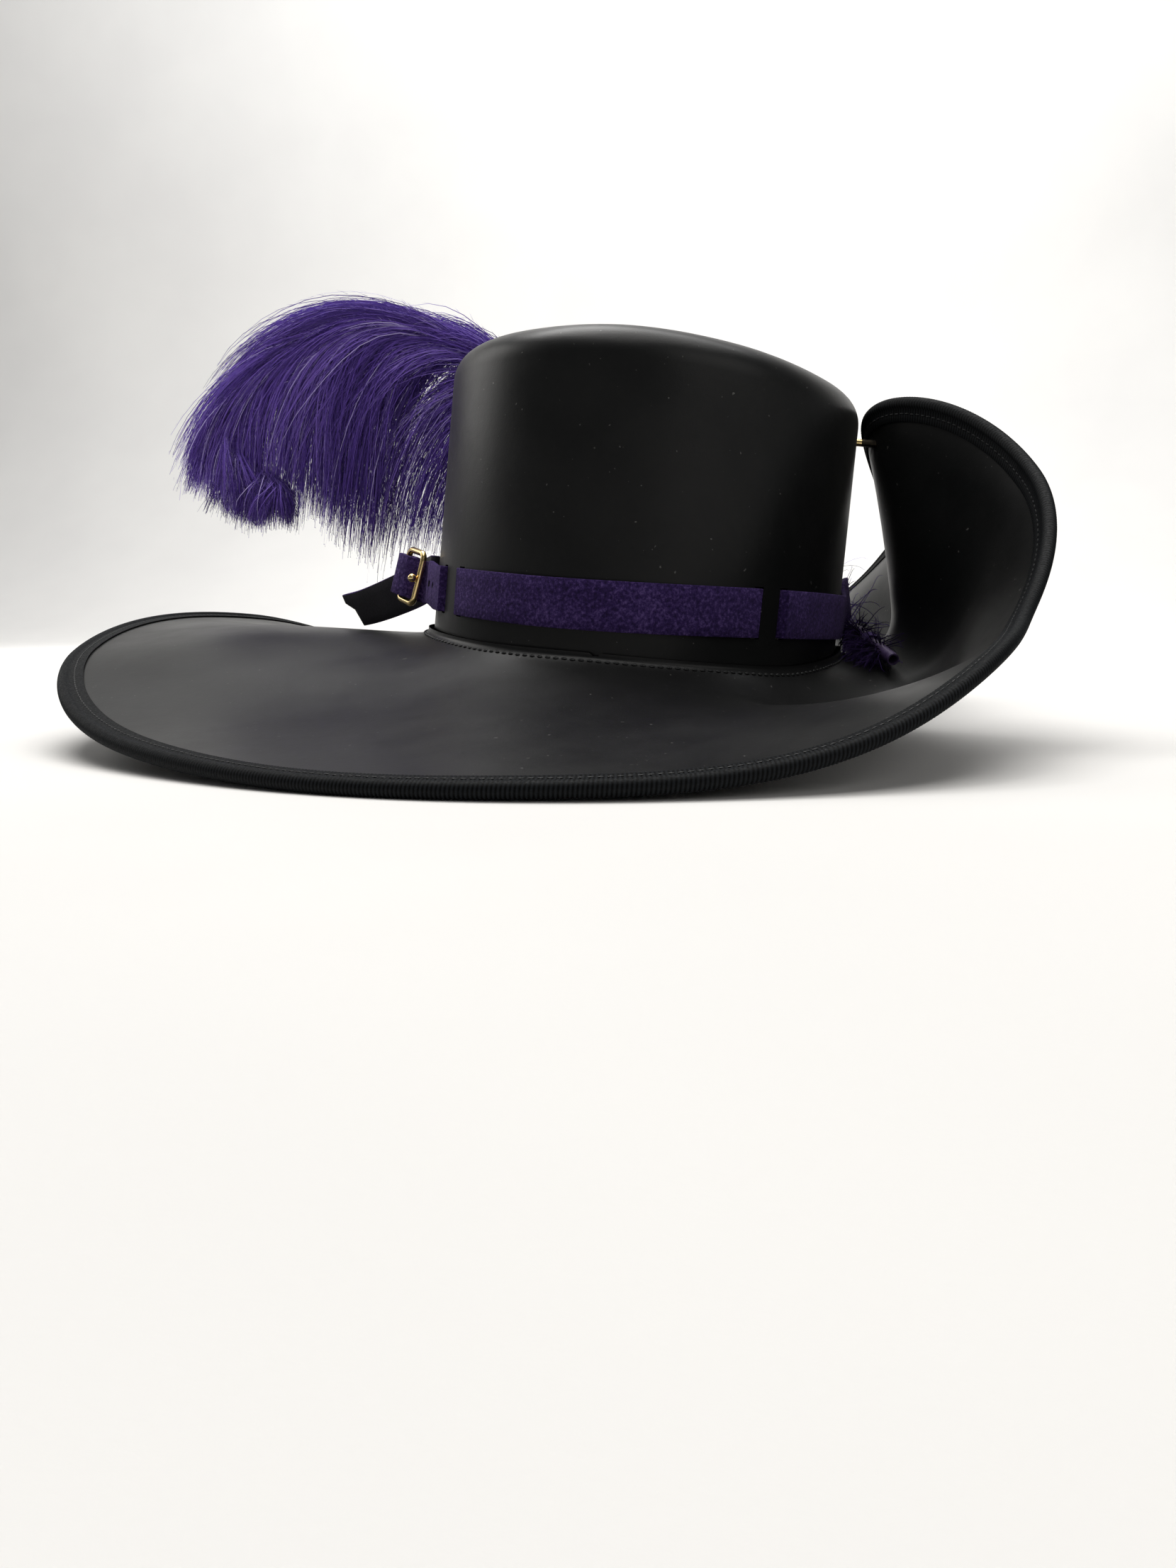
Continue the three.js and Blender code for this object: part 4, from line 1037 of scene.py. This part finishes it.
def vane(name, count, towards, depth, tone, pale, **keys):
    """Barbs from the shaft, gathered in locks that cross a little. `towards` is the share by which their
    tips lie nearer the lower side than the upper, `depth` how far they stand off the shaft, front and back,
    and `pale` the share coloured pale as painted highlights."""
    home = np.concatenate([chance.uniform(first, last, locks) for first, last, locks in GROWTH])
    lock = chance.integers(0, LOCKS, count)
    t = np.clip(home[lock] + chance.normal(0, 0.013, count), 0.002, 1)
    bound = np.clip(t + (chance.normal(0, 0.035, LOCKS))[lock] + chance.normal(0, 0.012, count), 0, 1)
    low = (chance.uniform(*towards, LOCKS)[lock] + chance.normal(0, 0.03, count))[:, None]
    roots = along_rows(SHAFT, 0, t)
    tips = along_rows(SHAFT, 1, bound) * (1 - low) + along_rows(SHAFT, 2, bound) * low
    ahead_of = along_rows(SHAFT, 0, np.minimum(t + 0.01, 1)) - along_rows(SHAFT, 0, np.maximum(t - 0.01, 0))
    ahead_of /= size(ahead_of)
    rise = np.cross(ahead_of, [0, -1.0, 0])
    tips = roots + (tips - roots) * chance.uniform(0.66, 1.0, (count, 1)) ** 0.6
    tips = tips + (chance.normal(0, 1, (LOCKS, 3)) * [3.0, 3.5, 3.0])[lock]
    tips = tips + chance.normal(0, 1, (count, 3)) * 1.8
    off = chance.uniform(*depth, count)
    sideways = np.stack([0 * off, off, 0 * off], 1)
    long = size(tips - roots)
    way = (tips - roots) / long
    above = roots + long * (ahead_of * 0.28 + rise * 0.17)
    below = roots + long * ahead_of * 0.34
    leads = above * (1 - low) + below * low + sideways
    fall = way + np.array([0.1, 0, -0.95])
    over_tip = tips - long * 0.4 * fall / size(fall)
    under_tip = tips + long * np.array([0.02, 0, 0.42])
    drops = over_tip * (1 - low) + under_tip * low + sideways
    # random tone per barb and lock, with the barbs near the curled end darkened as painted shade
    tone_with_painted_light = chance.normal(tone, 0.15, count) + chance.normal(0, 0.2, LOCKS)[lock] - 0.3 * (t > 0.86)
    # a few random barbs are painted pale, as painted highlights on single strands
    tone_with_painted_light = np.clip(np.where(chance.uniform(0, 1, count) < pale, 0.95, tone_with_painted_light), 0, 1)
    reach = chance.uniform(0.6, 1.2, count)
    grown(name, roots, leads, drops, tips + sideways * 0.5, reach, tone_with_painted_light, feather, **keys)


vane("plume_upper_vane", 4300, (0.02, 0.2), (-9, 9), 0.34, 0.02, stands_for=["plume"])
vane("plume_lower_vane", 4400, (0.84, 1.0), (-9, 9), 0.3, 0.02)
vane("plume_loose_barbs", 3000, (0.15, 1.0), (-13, 3), 0.45, 0.07)

# -------- down and thread on the quill
# Short dark down left on the quill beside the band, bound with a few turns of purple thread, and a few
# stray barbs further up behind the crown.
WOUND_FROM, WOUND_LONG, WINDS = 24.4, 5.2, 6
FLOSS, WOUND_OUT = 0.42, 3.15  # half the thread's thickness, and how far it lies from the quill's middle
quill_lengths = distances(quill_line)


def on_quill(distance):
    """The point of the quill's middle at a distance from its cut end."""
    i = min(int(np.searchsorted(quill_lengths, distance, side="right")) - 1, len(quill_line) - 2)
    share = (distance - quill_lengths[i]) / (quill_lengths[i + 1] - quill_lengths[i])
    return quill_line[i].lerp(quill_line[i + 1], share)


def growing(first, last, count):
    """Places along the quill, picked at random."""
    return np.array([tuple(on_quill(x)) for x in chance.uniform(first, last, count)])


wound_way = on_quill(30) - on_quill(24)
winding = []
for k in range(16 * WINDS + 1):
    middle = on_quill(WOUND_FROM + WOUND_LONG * k / (16 * WINDS))
    winding.append(beside(middle, wound_way, Vector((0, 0, 1)), 2 * math.pi * k / 16, WOUND_OUT))
bm = tube(winding, FLOSS, 6, Vector((0.3, 0.9, 0.1)))
floss = material("purple_thread", (0.04, 0.012, 0.12), 0.7, Sheen_Weight=0.2)
twist = speckle(floss, 2400.0, 2.0)
wear(
    floss,
    Base_Color=shades(floss, twist, (0.3, (0.018, 0.006, 0.06)), (0.7, (0.06, 0.02, 0.18))),
    Normal=raised(floss, twist, 0.4, 0.0002),
)
piece("thread_winding", bm, "feather", floss, stands_for=["quill_wrap"])

down = material("dark_down", (0.01, 0.005, 0.025), 0.8, Specular_IOR_Level=0.15)
strand = add(down, "SeparateXYZ", {0: add(down, "TexCoord").outputs["UV"]})
# the down's colour is darker at the roots and lighter towards the tips
root_to_tip_colour = shades(down, strand.outputs[0], (0.2, (0.004, 0.0025, 0.009)), (1.0, (0.040, 0.018, 0.105)))
wear(down, Base_Color=root_to_tip_colour)
count = 900
roots = growing(10, 66, count)
aim = chance.normal(0, 1, (count, 3)) * np.array([0.75, 0.8, 0.55]) + np.array([-0.15, -0.7, -0.3])
aim[: count // 3] += np.array([-1.3, 0.4, -0.5])  # some of it lies in against the crown
aim /= size(aim)
long = chance.uniform(6, 16, count)[:, None]
tips = roots + aim * long + np.array([0, 0, -1.5])
drops = roots + aim * long * 0.8 + chance.normal(0, 1.8, (count, 3))
reach, tone = chance.uniform(0.6, 1.1, count), chance.uniform(0, 1, count)
tuft = grown("down_tuft", roots, roots + aim * long * 0.4, drops, tips, reach, tone, down)
# down that would reach the brim lies against it
OFF_BRIM = 0.0005
brim_wall = BVHTree.FromObject(brim, bpy.context.evaluated_depsgraph_get())
barb_points = len(tuft.data.vertices) // count
for v in tuft.data.vertices:
    root = RESTING @ Vector(roots[v.index // barb_points])
    way = v.co - root
    met, _, _, far = brim_wall.ray_cast(root, way.normalized(), way.length + OFF_BRIM)
    if met:
        v.co = root + way.normalized() * max(far - OFF_BRIM, 0)
count = 60
roots = growing(62, 150, count)
outward = roots * np.array([1.0, 1.0, 0]) / size(roots[:, :2])
aim = outward * 0.55 + chance.normal(0, 0.5, (count, 3)) + np.array([0, 0, 0.45])
aim /= size(aim)
long = chance.uniform(14, 34, count)[:, None]
tips = roots + aim * long + np.array([0, 0, -4.0])
drops = roots + aim * long * 0.8 + np.array([0, 0, 3.0])
reach, tone = chance.uniform(0.5, 1.1, count), chance.uniform(0.1, 0.6, count)
grown("stray_barbs", roots, roots + aim * long * 0.4, drops, tips, reach, tone, feather)
